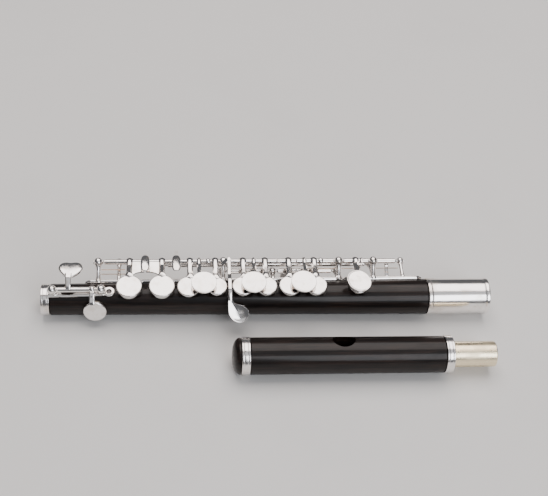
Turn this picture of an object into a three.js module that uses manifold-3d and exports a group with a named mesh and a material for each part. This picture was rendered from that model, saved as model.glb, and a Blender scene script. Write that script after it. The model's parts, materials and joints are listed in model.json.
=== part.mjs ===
// Wooden piccolo in two joints, laid side by side: the keyed body joint and the plain head joint.
// Millimetres, +Z up, +X from the foot towards the head end, +Y towards the rods (the player's side).
// Around a joint, an angle of 0 points up and grows towards +Y. Keys are shaped closed, in the body
// joint's own frame, and each key's group then turns about its steel to its place at rest.

import * as THREE from 'three';
import { mergeVertices } from 'three/addons/utils/BufferGeometryUtils.js';
import Module from 'manifold-3d';

const wasm = await Module();
wasm.setup();

// ---- Driving dimensions ------------------------------------------------------------------------

const gap = 0.3;                       // clearance between neighbouring pieces
const sides = { joint: 32, bore: 16, cup: 18, hole: 8, tube: 8, post: 8, steel: 6 };

const bodyLength = 213;
const barrelLength = 30.1;
const footRing = { length: 3.9, radius: 7.45 };
const woodFootRadius = 7.3;
const woodHeadRadius = 8.5;
const boreFootRadius = 4.5;
const boreHeadRadius = 5.3;
const ringTenonRadius = 6.4;           // wood under the foot ring
const barrel = { step: 0.25, bead: 0.2, beadLength: 2.2, wall: 0.9, lip: 0.8 };
const socketDepth = 20.7;
const socketWall = 0.6;                // thinnest wood between the liner and the barrel
const linerWall = 0.45;

const toneAngle = -15;                 // the line of the main tone holes
const backAngle = 105;                 // holes round the back: G sharp, thumb and trills
const footHoleAngle = -79;             // the E flat hole
const seatDepth = 0.6;                 // flat seat cut into the wood round each hole
const seatMargin = 0.5;
const padGap = 0.15;                   // pad above its seat when closed

const tube = { radius: 1.25, bore: 0.8 };
const steelRadius = 0.5;
const post = { ball: 2.2, neck: 1.15, foot: 1.7 };
const endGap = 0.3;                    // between a hinge tube and its neighbour or post
const rib = { angle: 47.5, width: 3.0, thickness: 1.2 };
const lowerRib = { start: 20, end: 141.6 };
const upperRib = { start: 142.2, end: 181 };

// Each hinge line runs parallel to the body joint's axis: its angle round it and how far it stands
// off the thick end of the wood.
const lineAngles = { main: 47.5, side: 59.7, trillD: 64, trillDSharp: 77 };
const lineStands = { main: 8.85, side: 4.6, trillD: 9.6, trillDSharp: 9.95 };
const footLine = { angle: -17, stand: 3.3 };

const openAngle = 7;                   // how far the open-standing keys stand up
const thumbOpenAngle = 8;

const arm = { width: 3.0, thickness: 1.4, rise: 1.05 };
const cupWall = 0.45;
const cupRoof = 0.65;
const padStand = 1.0;                  // pad showing below the cup's rim
const touchThickness = 1.0;

const head = {
  x: 87.15, y: -35.6, crown: 4.1, crownRing: 3.8, wood: 89.8, ring: 3.65, tenon: 20.6, sleeve: 14,
  radius: 8.45, ringRadius: 8.8, bore: 5.3, tenonRadius: 5.9, collarDepth: 1.6,
};
const embouchure = { x: 50.6, length: 10.6, width: 8.6, angle: 19 };
const stopper = { length: 8.5, toEmbouchure: 7.5, screwRadius: 1.5 };

// ---- Colours -----------------------------------------------------------------------------------

const finishes = {
  wood: { color: 0x1d1715, roughness: 0.38, metalness: 0 },
  silver: { color: 0xe6e4e2, roughness: 0.16, metalness: 1 },
  nickel: { color: 0xd9cdb0, roughness: 0.26, metalness: 1 },
  steel: { color: 0x9a9ca0, roughness: 0.3, metalness: 1 },
  bronze: { color: 0xb98e6a, roughness: 0.3, metalness: 1 },
  pad: { color: 0xe4d9c2, roughness: 0.8, metalness: 0 },
  cork: { color: 0xb58a5c, roughness: 0.9, metalness: 0 },
};

// ---- Solid geometry ----------------------------------------------------------------------------

const radians = THREE.MathUtils.degToRad;

// A closed three.js geometry as a solid, with its faces turned outwards.
function solid(geometry) {
  const bare = geometry.index ? geometry.toNonIndexed() : geometry.clone();
  bare.deleteAttribute('normal');
  bare.deleteAttribute('uv');
  const merged = mergeVertices(bare, 1e-4);
  const corners = merged.index.array;
  const points = merged.attributes.position.array;
  const triangles = [];
  let sixVolumes = 0;
  for (let i = 0; i < corners.length; i += 3) {
    const [a, b, c] = [corners[i], corners[i + 1], corners[i + 2]];
    if (a === b || b === c || c === a) continue;
    triangles.push(a, b, c);
    const va = new THREE.Vector3().fromArray(points, 3 * a);
    const vb = new THREE.Vector3().fromArray(points, 3 * b);
    const vc = new THREE.Vector3().fromArray(points, 3 * c);
    sixVolumes += va.dot(vb.cross(vc));
  }
  const triVerts = Uint32Array.from(triangles);
  if (sixVolumes < 0) triVerts.reverse();
  const vertProperties = Float32Array.from(points);
  return new wasm.Manifold(new wasm.Mesh({ numProp: 3, vertProperties, triVerts }));
}

function geometryOf(manifold) {
  const mesh = manifold.getMesh();
  const geometry = new THREE.BufferGeometry();
  geometry.setAttribute('position', new THREE.BufferAttribute(mesh.vertProperties, 3));
  geometry.setIndex(new THREE.BufferAttribute(mesh.triVerts, 1));
  geometry.computeVertexNormals();
  return geometry;
}

const join = (...pieces) => pieces.reduce((whole, piece) => whole.add(piece));
const cut = (base, ...tools) => tools.reduce((whole, tool) => whole.subtract(tool), base);

// Turned about the X axis from a profile of [x, radius] points.
function turnedX(profile, sideCount = sides.joint) {
  const points = profile.map(([x, r]) => new THREE.Vector2(r, x));
  const geometry = new THREE.LatheGeometry(points, sideCount);
  geometry.rotateZ(-Math.PI / 2);
  return solid(geometry);
}

// A round bar along X.
function barX(x0, x1, radius, { y = 0, z = 0 } = {}, sideCount = sides.steel) {
  const geometry = new THREE.CylinderGeometry(radius, radius, x1 - x0, sideCount);
  geometry.rotateZ(Math.PI / 2);
  geometry.translate((x0 + x1) / 2, y, z);
  return solid(geometry);
}

// The unit vectors at an angle round the joint: out from the axis, and round it.
const outward = (angle) => new THREE.Vector3(0, Math.sin(radians(angle)), Math.cos(radians(angle)));
const around = (angle) => new THREE.Vector3(0, Math.cos(radians(angle)), -Math.sin(radians(angle)));
const alongX = new THREE.Vector3(1, 0, 0);

// Turned about a line that leaves the axis at x and an angle, from [radius, height] points.
function turnedOut(angle, x, profile, sideCount = sides.hole, lean = 0) {
  const outline = profile.map(([r, h]) => new THREE.Vector2(r, h));
  const geometry = new THREE.LatheGeometry(outline, sideCount);
  if (lean) {
    const middle = profile[0][1];
    geometry.translate(0, -middle, 0);
    geometry.rotateZ(-radians(lean));
    geometry.translate(0, middle, 0);
  }
  const basis = new THREE.Matrix4().makeBasis(alongX, outward(angle), around(angle).negate());
  geometry.applyMatrix4(basis);
  geometry.translate(x, 0, 0);
  return solid(geometry);
}

// An outline of [y, z] points, extruded along X.
function sidePlate(x0, x1, outline) {
  const shape = new THREE.Shape(outline.map(([y, z]) => new THREE.Vector2(y, z)));
  const geometry = new THREE.ExtrudeGeometry(shape, { depth: x1 - x0, bevelEnabled: false });
  const basis = new THREE.Matrix4().makeBasis(
    new THREE.Vector3(0, 1, 0), new THREE.Vector3(0, 0, 1), alongX);
  geometry.applyMatrix4(basis);
  geometry.translate(x0, 0, 0);
  return solid(geometry);
}

// A plan of [x, distance round] points, extruded outwards from height h0 to h1 at an angle.
function planPlate(angle, h0, h1, shape) {
  const geometry = new THREE.ExtrudeGeometry(
    shape, { depth: h1 - h0, bevelEnabled: false, curveSegments: 6 });
  geometry.translate(0, 0, h0);
  geometry.applyMatrix4(new THREE.Matrix4().makeBasis(alongX, around(angle), outward(angle)));
  return solid(geometry);
}

const planOf = (points) => new THREE.Shape(points.map(([x, s]) => new THREE.Vector2(x, s)));

// A band of even thickness that follows a centre line of [y, z] points.
function bandOutline(centre, thickness) {
  const points = centre.map(([y, z]) => new THREE.Vector2(y, z));
  const side = (sign) => points.map((point, i) => {
    const before = points[Math.max(i - 1, 0)];
    const after = points[Math.min(i + 1, points.length - 1)];
    const way = after.clone().sub(before).normalize();
    return [point.x - sign * way.y * thickness / 2, point.y + sign * way.x * thickness / 2];
  });
  return [...side(1), ...side(-1).reverse()];
}

// A place [y, z] given round the joint: s along the wood from the line at an angle, h outwards.
function placeOn(angle, s, h) {
  const place = around(angle).multiplyScalar(s).addScaledVector(outward(angle), h);
  return [place.y, place.z];
}

// ---- The wood ----------------------------------------------------------------------------------

const lineFrom = (angle, radius) => {
  const place = outward(angle).multiplyScalar(radius);
  return { y: place.y, z: place.z };
};
const lines = { foot: lineFrom(footLine.angle, woodFootRadius + footLine.stand) };
Object.entries(lineAngles).forEach(([name, angle]) => {
  lines[name] = lineFrom(angle, woodHeadRadius + lineStands[name]);
});

const barrelStart = bodyLength - barrelLength;
const woodStart = 0.8;
const woodEnd = bodyLength - barrel.lip - gap;
const socketStart = bodyLength - socketDepth;
const linerRadius = head.tenonRadius + gap + linerWall;

// The barrel covers both the wood beside it and the socket inside it.
const barrelRadius = Math.max(
  woodHeadRadius + barrel.step, linerRadius + gap + socketWall + gap + barrel.wall);
const beadRadius = barrelRadius + barrel.bead;
const underBarrelRadius = barrelRadius - barrel.wall - gap;

const woodRadius = (x) => THREE.MathUtils.mapLinear(
  x, footRing.length, barrelStart, woodFootRadius, woodHeadRadius);
const seatHeight = (x) => woodRadius(x) - seatDepth;

// Tone holes: where they are along the joint and round it, and the radius of hole and cup.
const cups = {
  eFlat: { x: 25.0, angle: footHoleAngle, hole: 2.9, radius: 5.3, height: 3.1 },
  d: { x: 40.7, angle: toneAngle, hole: 2.7, radius: 5.95, height: 3.9 },
  e: { x: 55.75, angle: toneAngle, hole: 2.7, radius: 5.98, height: 3.9 },
  f: { x: 68.2, angle: toneAngle, hole: 2.6, radius: 5.4, height: 3.1 },
  fSharp: { x: 81.3, angle: toneAngle, hole: 2.4, radius: 4.8, height: 3.1 },
  lowerG: { x: 93.5, angle: toneAngle, hole: 2.5, radius: 5.1, height: 3.1 },
  upperG: { x: 104.4, angle: toneAngle, hole: 2.5, radius: 5.1, height: 3.1 },
  bFlat: { x: 115.75, angle: toneAngle, hole: 2.4, radius: 5.3, height: 3.1 },
  a: { x: 127.85, angle: toneAngle, hole: 2.4, radius: 5.3, height: 3.1 },
  c: { x: 148.2, angle: toneAngle, hole: 2.0, radius: 4.6, height: 2.9 },
  gSharp: { x: 99.0, angle: backAngle, hole: 2.4, radius: 5.0, height: 2.9 },
  thumbB: { x: 131.0, angle: backAngle, hole: 2.4, radius: 5.0, height: 2.9 },
  trillD: { x: 165.5, angle: backAngle, hole: 1.9, radius: 4.4, height: 2.9 },
  trillDSharp: { x: 152.0, angle: backAngle, hole: 1.9, radius: 4.4, height: 2.9 },
};

function bodyWood() {
  const outside = turnedX([
    [woodStart, 0], [woodStart, ringTenonRadius], [footRing.length + gap, ringTenonRadius],
    [footRing.length + gap, woodRadius(footRing.length)], [barrelStart - gap, woodHeadRadius],
    [barrelStart - gap, underBarrelRadius], [woodEnd, underBarrelRadius], [woodEnd, 0],
  ]);
  const bore = turnedX([
    [-1, 0], [-1, boreFootRadius], [socketStart, boreHeadRadius], [socketStart, linerRadius + gap],
    [bodyLength + 1, linerRadius + gap], [bodyLength + 1, 0],
  ], sides.bore);
  const cuts = Object.values(cups).map(({ x, angle, hole, radius }) => {
    const seatRadius = radius - cupWall + seatMargin;
    const top = woodHeadRadius + 2;
    return turnedOut(angle, x, [
      [0, 0], [hole, 0], [hole, seatHeight(x)], [seatRadius, seatHeight(x)], [seatRadius, top], [0, top],
    ]);
  });
  return cut(outside, bore, ...cuts);
}

// A shell of even thickness that stands off the tapered wood by the usual gap.
function woodShell(x0, x1, thickness) {
  const inner = (x) => woodRadius(x) + gap;
  return turnedX([
    [x0, inner(x0)], [x0, inner(x0) + thickness], [x1, inner(x1) + thickness], [x1, inner(x1)],
    [x0, inner(x0)],
  ], sides.joint);
}

// ---- Metal fittings of the body joint ------------------------------------------------------------

function footRingSolid() {
  const { length, radius } = footRing;
  const inner = ringTenonRadius + gap;
  return turnedX([
    [0, boreFootRadius + gap], [0, radius - 0.3], [0.3, radius], [length - 0.3, radius],
    [length, radius - 0.3], [length, inner], [woodStart - gap, inner],
    [woodStart - gap, boreFootRadius + gap], [0, boreFootRadius + gap],
  ]);
}

function barrelSolid() {
  const { beadLength, wall, lip } = barrel;
  const inner = barrelRadius - wall;
  return turnedX([
    [barrelStart, inner], [barrelStart, beadRadius - 0.3], [barrelStart + 0.4, beadRadius],
    [barrelStart + beadLength - 0.3, beadRadius], [barrelStart + beadLength, barrelRadius],
    [bodyLength - beadLength, barrelRadius], [bodyLength - beadLength + 0.3, beadRadius],
    [bodyLength - 0.4, beadRadius], [bodyLength, beadRadius - 0.3], [bodyLength, linerRadius],
    [bodyLength - lip, linerRadius], [bodyLength - lip, inner], [barrelStart, inner],
  ]);
}

function socketLiner() {
  const end = bodyLength - barrel.lip - gap;
  const inner = linerRadius - linerWall;
  const start = socketStart + gap;
  return turnedX([
    [start, inner], [start, linerRadius], [end, linerRadius], [end, inner], [start, inner],
  ], sides.bore);
}

// A post: flared foot, neck and ball, from a place on the rib to a place on a hinge line.
function postSolid(x, from, line, { ball = post.ball, foot = post.foot } = {}) {
  const height = Math.hypot(line.y - from[0], line.z - from[1]);
  const angle = THREE.MathUtils.radToDeg(Math.atan2(line.y - from[0], line.z - from[1]));
  const profile = [[0, 0], [foot, 0], [foot, 0.4], [post.neck, 1.6]];
  const steps = 4;
  const start = Math.asin(post.neck / ball);
  for (let i = 0; i <= steps; i += 1) {
    const turn = Math.PI - start - (Math.PI - start) * (i / steps);
    profile.push([i === steps ? 0 : ball * Math.sin(turn), height + ball * Math.cos(turn)]);
  }
  const standing = turnedOut(angle, x, profile, sides.post);
  return standing.translate([0, from[0], from[1]]);
}

// Posts by rib: where each stands and which hinge line it holds.
const ribPosts = {
  lower: [
    { x: 26.05, line: 'main' }, { x: 35.6, line: 'trillD' }, { x: 55.9, line: 'trillDSharp' },
    { x: 84.8, line: 'main' }, { x: 84.3, line: 'side' }, { x: 108.55, line: 'side' },
    { x: 139.6, line: 'side' }, { x: 140.4, line: 'main' },
  ],
  upper: [
    { x: 157.3, line: 'main' }, { x: 157.3, line: 'trillDSharp' }, { x: 171.8, line: 'trillD' },
  ],
};

function ribSolid({ start, end }, posts) {
  const half = rib.width / 2;
  const tip = 2.4;
  const plan = planOf([
    [start, 0], [start + tip, -half], [end - tip, -half], [end, 0], [end - tip, half], [start + tip, half],
  ]);
  const strip = woodShell(start, end, rib.thickness).intersect(planPlate(rib.angle, 2, 30, plan));
  const standing = posts.map(({ x, line }) => {
    const upright = line === 'main';
    const from = placeOn(rib.angle, 0, woodRadius(x) + gap + rib.thickness * (upright ? 0.5 : 0.8));
    return postSolid(x, from, lines[line], upright ? {} : { ball: 1.8, foot: post.neck });
  });
  const holes = posts.map(({ x, line }) => barX(x - 4, x + 4, tube.bore, lines[line]));
  return cut(join(strip, ...standing), ...holes);
}

// The foot strap carries the E flat key's two posts and ends in an eye for its screw.
const strap = { angle: footLine.angle, width: 5.0, thickness: 0.8, end: 33.8, eye: 31.4, eyeRadius: 1.25 };
const strapPosts = [5.6, 27.83];

function footStrap() {
  const start = footRing.length + gap;
  const half = strap.width / 2;
  const shape = planOf([[start, -half], [strap.end - half, -half]]);
  shape.absarc(strap.end - half, 0, half, -Math.PI / 2, Math.PI / 2, false);
  shape.lineTo(start, half);
  const eye = new THREE.Path();
  eye.absarc(strap.eye, 0, strap.eyeRadius, 0, 2 * Math.PI, true);
  const opening = new THREE.Path();
  opening.absellipse(12, 0.4, 3.6, 1.25, 0, 2 * Math.PI, true);
  shape.holes.push(eye, opening);
  const strip = woodShell(start, strap.end, strap.thickness).intersect(planPlate(strap.angle, 2, 30, shape));
  const standing = strapPosts.map((x) => {
    const from = placeOn(strap.angle, 0, woodRadius(x) + gap + strap.thickness / 2);
    return postSolid(x, from, lines.foot, { ball: 2.1 });
  });
  const holes = strapPosts.map((x) => barX(x - 4, x + 4, tube.bore, lines.foot));
  return cut(join(strip, ...standing), ...holes);
}

function strapScrew() {
  const seat = woodRadius(strap.eye) + gap;
  const radius = strap.eyeRadius - gap;
  return turnedOut(strap.angle, strap.eye, [
    [0, seat], [radius, seat], [radius, seat + 0.6], [0, seat + 0.8],
  ]);
}

// ---- Keys --------------------------------------------------------------------------------------

function cupSolid({ x, angle, radius, height }) {
  const rest = seatHeight(x) + padGap;
  const top = rest + height;
  const inner = radius - cupWall;
  return turnedOut(angle, x, [
    [0, top - cupRoof], [inner, top - cupRoof], [inner, rest + padStand], [radius, rest + padStand],
    [radius, top - 0.35], [radius - 0.35, top], [0, top],
  ], sides.cup);
}

function padSolid({ x, angle, radius, height }) {
  const rest = seatHeight(x) + padGap;
  const rim = radius - cupWall - gap;
  const top = rest + height - cupRoof - gap;
  return turnedOut(angle, x, [
    [0, rest], [rim - 0.4, rest], [rim, rest + 0.4], [rim, top], [0, top],
  ], sides.cup);
}

// The top of a closed cup, as a height on its own line.
const cupTop = ({ x, height }) => seatHeight(x) + padGap + height;

const hingeTube = ([x0, x1], line) => barX(x0, x1, tube.radius, lines[line], sides.tube);
const hingeBore = ([x0, x1], line) => barX(x0 - 1, x1 + 1, tube.bore, lines[line]);

// Where the main hinge line lies, measured on the tone holes' own line.
const mainLine = (() => {
  const place = new THREE.Vector3(0, lines.main.y, lines.main.z);
  return { s: place.dot(around(toneAngle)), h: place.dot(outward(toneAngle)) };
})();

// The outline of a main key's arm: over its tube, level to reach, and down inside what it carries.
function mainArmOutline(reach, top, depth) {
  const { s, h } = mainLine;
  const peak = h + tube.radius + arm.rise;
  const points = [
    [reach, top], [s - 2.2, peak - 0.35], [s, peak], [s + 1.2, peak - 1.1], [s + 1.2, h],
    [s - 0.6, h - 0.9], [s - 2.0, peak - arm.thickness - 0.6], [reach, top - depth],
  ];
  return points.map(([along, height]) => placeOn(toneAngle, along, height));
}

function mainArm(x, reach, top, depth = arm.thickness, width = arm.width) {
  return sidePlate(x - width / 2, x + width / 2, mainArmOutline(reach, top, depth));
}

// A thin quarter-arch web in the corner between an arm and its hinge tube.
function archWeb(from, to, cup) {
  const middle = mainLine.s - 6.6;
  const low = cup.radius + 0.4;
  const shape = new THREE.Shape();
  shape.moveTo(from, low);
  shape.quadraticCurveTo(from + (to - from) * 0.15, middle, to, middle);
  shape.lineTo(to, mainLine.s - 0.8);
  shape.lineTo(from, mainLine.s - 0.8);
  const height = mainLine.h + 0.5;
  return planPlate(toneAngle, height, height + 0.8, shape);
}

// A key on the main line: hinge tube, one or more arms, cups and any collar or web.
function mainKey({ span, arms, cupNames, extras = [] }) {
  const carried = cupNames.map((name) => cupSolid(cups[name]));
  return cut(join(hingeTube(span, 'main'), ...arms, ...carried, ...extras), hingeBore(span, 'main'));
}

const armToCup = (x, cup, width) => mainArm(x, cup.radius - 0.4, cupTop(cup) - 0.1, arm.thickness, width);

// A raised finger touch on its own arm: the arm ends in a pedestal and the disc rests on that.
// stand is how far its top is above the wood when the key is closed.
const touches = {
  rightIndex: { x: 75.2, armX: 73.2, radius: 5.95, stand: 5.6, lean: 0 },
  leftRing: { x: 98.4, armX: 99.2, radius: 5.85, stand: 5.5, lean: 0 },
  leftMiddle: { x: 121.8, armX: 123.6, radius: 6.0, stand: 5.6, lean: 0 },
  leftIndex: { x: 147.9, armX: 148.5, radius: 5.95, stand: 5.55, lean: 9 },
};

function touchDisc({ x, radius, stand, lean }) {
  const top = woodRadius(x) + stand;
  const bottom = top - touchThickness;
  return turnedOut(toneAngle, x, [
    [0, bottom], [radius - 0.3, bottom], [radius, bottom + 0.3], [radius, top - 0.3],
    [radius - 0.3, top], [0, top],
  ], sides.cup, lean);
}

function touchArm({ x, armX, stand }) {
  const seat = woodRadius(x) + stand - touchThickness - gap;
  const pedestal = turnedOut(toneAngle, x, [
    [0, seat - 1.2], [1.9, seat - 1.2], [1.9, seat - 0.25], [1.4, seat], [0, seat],
  ]);
  const lever = mainArm(armX, 0, seat - 0.3, 0.9, 2.0);
  const from = Math.min(x, armX) - 1;
  const to = Math.max(x, armX) + 1;
  const foot = planPlate(toneAngle, seat - 1.2, seat - 0.3, planOf([
    [from, -1], [to, -1], [to, 1.5], [from, 1.5],
  ]));
  return join(pedestal, lever, foot);
}

const ballCollar = (x, radius) => {
  const geometry = new THREE.SphereGeometry(radius, 10, 6);
  geometry.translate(x, lines.main.y, lines.main.z);
  return solid(geometry);
};

const tubes = {
  d: [28.8, 47.6], e: [48.0, 62.2], f: [62.6, 79.2], fSharp: [79.6, 82.2],
  g: [87.4, 110.2], bFlat: [110.6, 119.6], a: [120.0, 137.8], c: [143.0, 154.7],
  gSharp: [87.3, 106.0], thumbBFlat: [111.1, 119.8], thumbB: [120.2, 137.0],
  trillD: [38.1, 169.2], trillDSharp: [58.4, 154.7], eFlat: [8.1, 25.4],
};

// A heart-shaped plan with its point at [x, y], widening towards +Y.
function heartPlan(x, y) {
  const plan = new THREE.Shape();
  plan.moveTo(x, y);
  plan.bezierCurveTo(x + 2.2, y + 0.5, x + 6.2, y + 2.8, x + 6.3, y + 6.2);
  plan.bezierCurveTo(x + 6.2, y + 9.4, x + 2.6, y + 10.0, x + 0.6, y + 9.4);
  plan.bezierCurveTo(x - 1.4, y + 10.0, x - 4.7, y + 9.3, x - 4.9, y + 6.2);
  plan.bezierCurveTo(x - 4.8, y + 2.8, x - 2.0, y + 0.5, x, y);
  return plan;
}

// E flat: a heart-shaped touch for the little finger and a cup low in front.
function eFlatKey() {
  const cup = cups.eFlat;
  const { y, z } = lines.foot;
  const touch = { x: 13.0, y: y + 4.0, height: z + 3.5, thickness: 0.9 };
  const over = (clear, angle) => placeOn(angle, 0, woodRadius(cup.x) + clear);
  const top = cupTop(cup);
  const onCup = (s, h) => placeOn(cup.angle, s, h);
  const cupArm = sidePlate(cup.x - 2.3, cup.x - 0.1, [
    over(4.45, -12), over(4.55, -22), over(4.25, -36), onCup(cup.radius + 0.1, top + 0.2),
    onCup(cup.radius - 0.7, top - 0.1), onCup(cup.radius - 0.35, top - 1.2), over(2.35, -42),
    over(2.15, -26),
  ]);
  const flank = [
    [-0.5, 1.0], [1.1, 2.8], [4.5, 4.2], [6.3, 4.2], [6.3, 3.4], [4.9, 3.3], [2.2, 1.9], [0.9, 0.5],
  ];
  const neck = sidePlate(touch.x - 1, touch.x + 1, flank.map(([dy, dz]) => [y + dy, z + dz]));
  const plate = planPlate(0, touch.height, touch.height + touch.thickness, heartPlan(touch.x, touch.y));
  const whole = join(hingeTube(tubes.eFlat, 'foot'), cupArm, cupSolid(cup), neck, plate);
  return cut(whole, hingeBore(tubes.eFlat, 'foot'));
}

// G sharp: a lever over the top to the spoon in front, and a cup round the back.
const spoon = { x: 86.4, angle: -46, stand: 3.05, thickness: 1.0 };

function spoonPlan(x) {
  const plan = new THREE.Shape();
  plan.moveTo(x, 0);
  plan.lineTo(x + 1.9, 0);
  plan.bezierCurveTo(x + 2.5, -2.2, x + 10.2, -1.6, x + 10.4, -6.4);
  plan.bezierCurveTo(x + 10.4, -9.2, x + 7.6, -10.8, x + 5.2, -10.7);
  plan.bezierCurveTo(x + 2.0, -10.4, x + 0.1, -8.2, x, -5);
  return plan;
}

function gSharpKey() {
  const cup = cups.gSharp;
  const { y, z } = lines.side;
  const over = (clear, angle) => placeOn(angle, 0, woodRadius(spoon.x) + clear);
  const lever = sidePlate(spoon.x, spoon.x + 1.7, bandOutline([
    [y, z], over(5.9, 43), over(5.15, 22.6), over(4.65, 0), over(4.2, -22), over(3.4, -42.5),
    over(3.6, -56.7),
  ], 1.3));
  const low = woodRadius(spoon.x) + spoon.stand;
  const bowl = planPlate(spoon.angle, low, low + spoon.thickness, spoonPlan(spoon.x));
  const whole = join(hingeTube(tubes.gSharp, 'side'), lever, bowl, backArm(cup, 'side'), cupSolid(cup));
  return cut(whole, hingeBore(tubes.gSharp, 'side'));
}

// An arm from a hinge line round the back to the top of a cup there.
function backArm(cup, line, width = 2.2) {
  const { y, z } = lines[line];
  const top = cupTop(cup);
  const edge = placeOn(cup.angle, -cup.radius + 0.2, top + 0.2);
  const land = placeOn(cup.angle, -0.5, top + 0.35);
  const elbow = [Math.max(y + 0.4, edge[0] + 0.4), (z + edge[1]) / 2];
  const line2d = [[y, z], elbow, edge, land];
  return sidePlate(cup.x - width / 2, cup.x + width / 2, bandOutline(line2d, 1.2));
}

// A thumb plate round the back, carried on a stem from the low line.
function thumbPlate(x, length) {
  const { y, z } = lines.side;
  const band = (points, thickness) => bandOutline(points.map(([dy, dz]) => [y + dy, z + dz]), thickness);
  const plate = sidePlate(x - length / 2, x + length / 2, band(
    [[0.9, -3.4], [1.4, -6.0], [1.3, -9.0], [0.5, -12.0]], 1.1));
  const stem = sidePlate(x - 1.1, x + 1.1, band([[0, 0], [0.6, -2.0], [1.0, -4.0]], 1.3));
  return join(plate, stem);
}

function thumbBKey() {
  const whole = join(hingeTube(tubes.thumbB, 'side'), backArm(cups.thumbB, 'side'), cupSolid(cups.thumbB),
    thumbPlate(122.9, 5.0));
  return cut(whole, hingeBore(tubes.thumbB, 'side'));
}

function thumbBFlatKey() {
  const whole = join(hingeTube(tubes.thumbBFlat, 'side'), thumbPlate(116.2, 6.6));
  return cut(whole, hingeBore(tubes.thumbBFlat, 'side'));
}

// A trill key: an oval touch between the main arms, a long hinge tube and a cup round the back.
// bulge is how far its lever passes behind its own hinge line.
function trillKey(line, cupName, touchX, bulge) {
  const cup = cups[cupName];
  const touch = { y: lines.main.y - 4.5, height: lines.main.z + 3.5, thickness: 1.1 };
  const half = { along: 2.15, across: 5.1 };
  const plan = new THREE.Shape();
  plan.absellipse(touchX, touch.y, half.along, half.across, 0, 2 * Math.PI, false);
  const plate = planPlate(0, touch.height, touch.height + touch.thickness, plan);
  const { y, z } = lines[line];
  const behind = y + bulge;
  const lever = sidePlate(touchX - 0.9, touchX + 0.9, bandOutline([
    [touch.y + 3.3, touch.height + 0.4], [touch.y + 6.3, touch.height - 1.0],
    [behind, touch.height - 4.0], [behind + 0.2, (z + touch.height - 6.2) / 2], [y + 0.2, z],
  ], touch.thickness));
  const span = tubes[line];
  const whole = join(hingeTube(span, line), plate, lever, backArm(cup, line), cupSolid(cup));
  return cut(whole, hingeBore(span, line));
}

const keySolids = {
  eFlat: eFlatKey(),
  d: mainKey({ span: tubes.d, arms: [armToCup(40.7, cups.d)], cupNames: ['d'],
    extras: [archWeb(41.9, 47.4, cups.d)] }),
  e: mainKey({ span: tubes.e, arms: [armToCup(55.8, cups.e)], cupNames: ['e'],
    extras: [archWeb(54.6, 48.4, cups.e)] }),
  f: mainKey({ span: tubes.f, arms: [armToCup(68.9, cups.f), touchArm(touches.rightIndex)],
    cupNames: ['f'], extras: [ballCollar(77.6, 1.6)] }),
  fSharp: mainKey({ span: tubes.fSharp, arms: [armToCup(80.9, cups.fSharp, 2.4)], cupNames: ['fSharp'] }),
  g: mainKey({ span: tubes.g, cupNames: ['lowerG', 'upperG'],
    arms: [armToCup(94.1, cups.lowerG), armToCup(104.6, cups.upperG), touchArm(touches.leftRing)] }),
  bFlat: mainKey({ span: tubes.bFlat, arms: [armToCup(115.9, cups.bFlat)], cupNames: ['bFlat'] }),
  a: mainKey({ span: tubes.a, arms: [armToCup(128.2, cups.a), touchArm(touches.leftMiddle)],
    cupNames: ['a'], extras: [ballCollar(131.6, 1.7)] }),
  c: mainKey({ span: tubes.c, arms: [armToCup(148.5, cups.c), touchArm(touches.leftIndex)], cupNames: ['c'],
    extras: [mainArm(151.4, mainLine.s - 3.4, mainLine.h + 1.6, 0.9, 1.5)] }),
  gSharp: gSharpKey(),
  thumbB: thumbBKey(),
  thumbBFlat: thumbBFlatKey(),
  trillD: trillKey('trillD', 'trillD', 48.0, 1.1),
  trillDSharp: trillKey('trillDSharp', 'trillDSharp', 62.5, 1.8),
};

// ---- Head joint --------------------------------------------------------------------------------

const headWoodStart = head.crown + head.crownRing;
const headWoodEnd = headWoodStart + head.wood;
const headRingEnd = headWoodEnd + head.ring;
const headLength = headRingEnd + head.tenon;
const sleeveStart = headWoodEnd - head.sleeve;    // the tenon's tube starts inside the wood

function headWood() {
  const collar = head.radius - head.collarDepth;
  const outside = turnedX([
    [head.crown + gap, 0], [head.crown + gap, collar], [headWoodStart + gap, collar],
    [headWoodStart + gap, head.radius], [headWoodEnd - gap, head.radius], [headWoodEnd - gap, 0],
  ]);
  const lining = head.tenonRadius + gap;
  const bore = turnedX([
    [0, 0], [0, head.bore], [sleeveStart, head.bore], [sleeveStart, lining],
    [headLength, lining], [headLength, 0],
  ], sides.bore);
  const hole = new THREE.Shape();
  hole.absellipse(embouchure.x, 0, embouchure.length / 2, embouchure.width / 2, 0, 2 * Math.PI, false);
  return cut(outside, bore, planPlate(embouchure.angle, 0, head.radius + 3, hole));
}

function headCrown() {
  const radius = head.radius - 0.1;
  const profile = [[0, 0]];
  const steps = 5;
  for (let i = 1; i <= steps; i += 1) {
    const turn = (i / steps) * Math.PI / 2;
    profile.push([head.crown * 0.75 * (1 - Math.cos(turn)), radius * (0.25 + 0.75 * Math.sin(turn))]);
  }
  profile.push([head.crown - gap, radius], [head.crown - gap, 0]);
  return turnedX(profile);
}

const plainRing = (x0, x1, radius, inner) => turnedX([
  [x0, inner], [x0, radius - 0.3], [x0 + 0.3, radius], [x1 - 0.3, radius], [x1, radius - 0.3],
  [x1, inner], [x0, inner],
]);

function tenonTube() {
  const start = sleeveStart + gap;
  const outer = head.tenonRadius;
  return turnedX([
    [start, head.bore], [start, outer], [headLength - 0.6, outer], [headLength, outer - 0.35],
    [headLength, head.bore], [start, head.bore],
  ]);
}

const corkEnd = embouchure.x - stopper.toEmbouchure;
const corkStart = corkEnd - stopper.length;

const stopperScrew = () => barX(
  head.crown + 0.2, corkStart - gap, stopper.screwRadius, {}, sides.tube);

// ---- Assembly ----------------------------------------------------------------------------------

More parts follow.
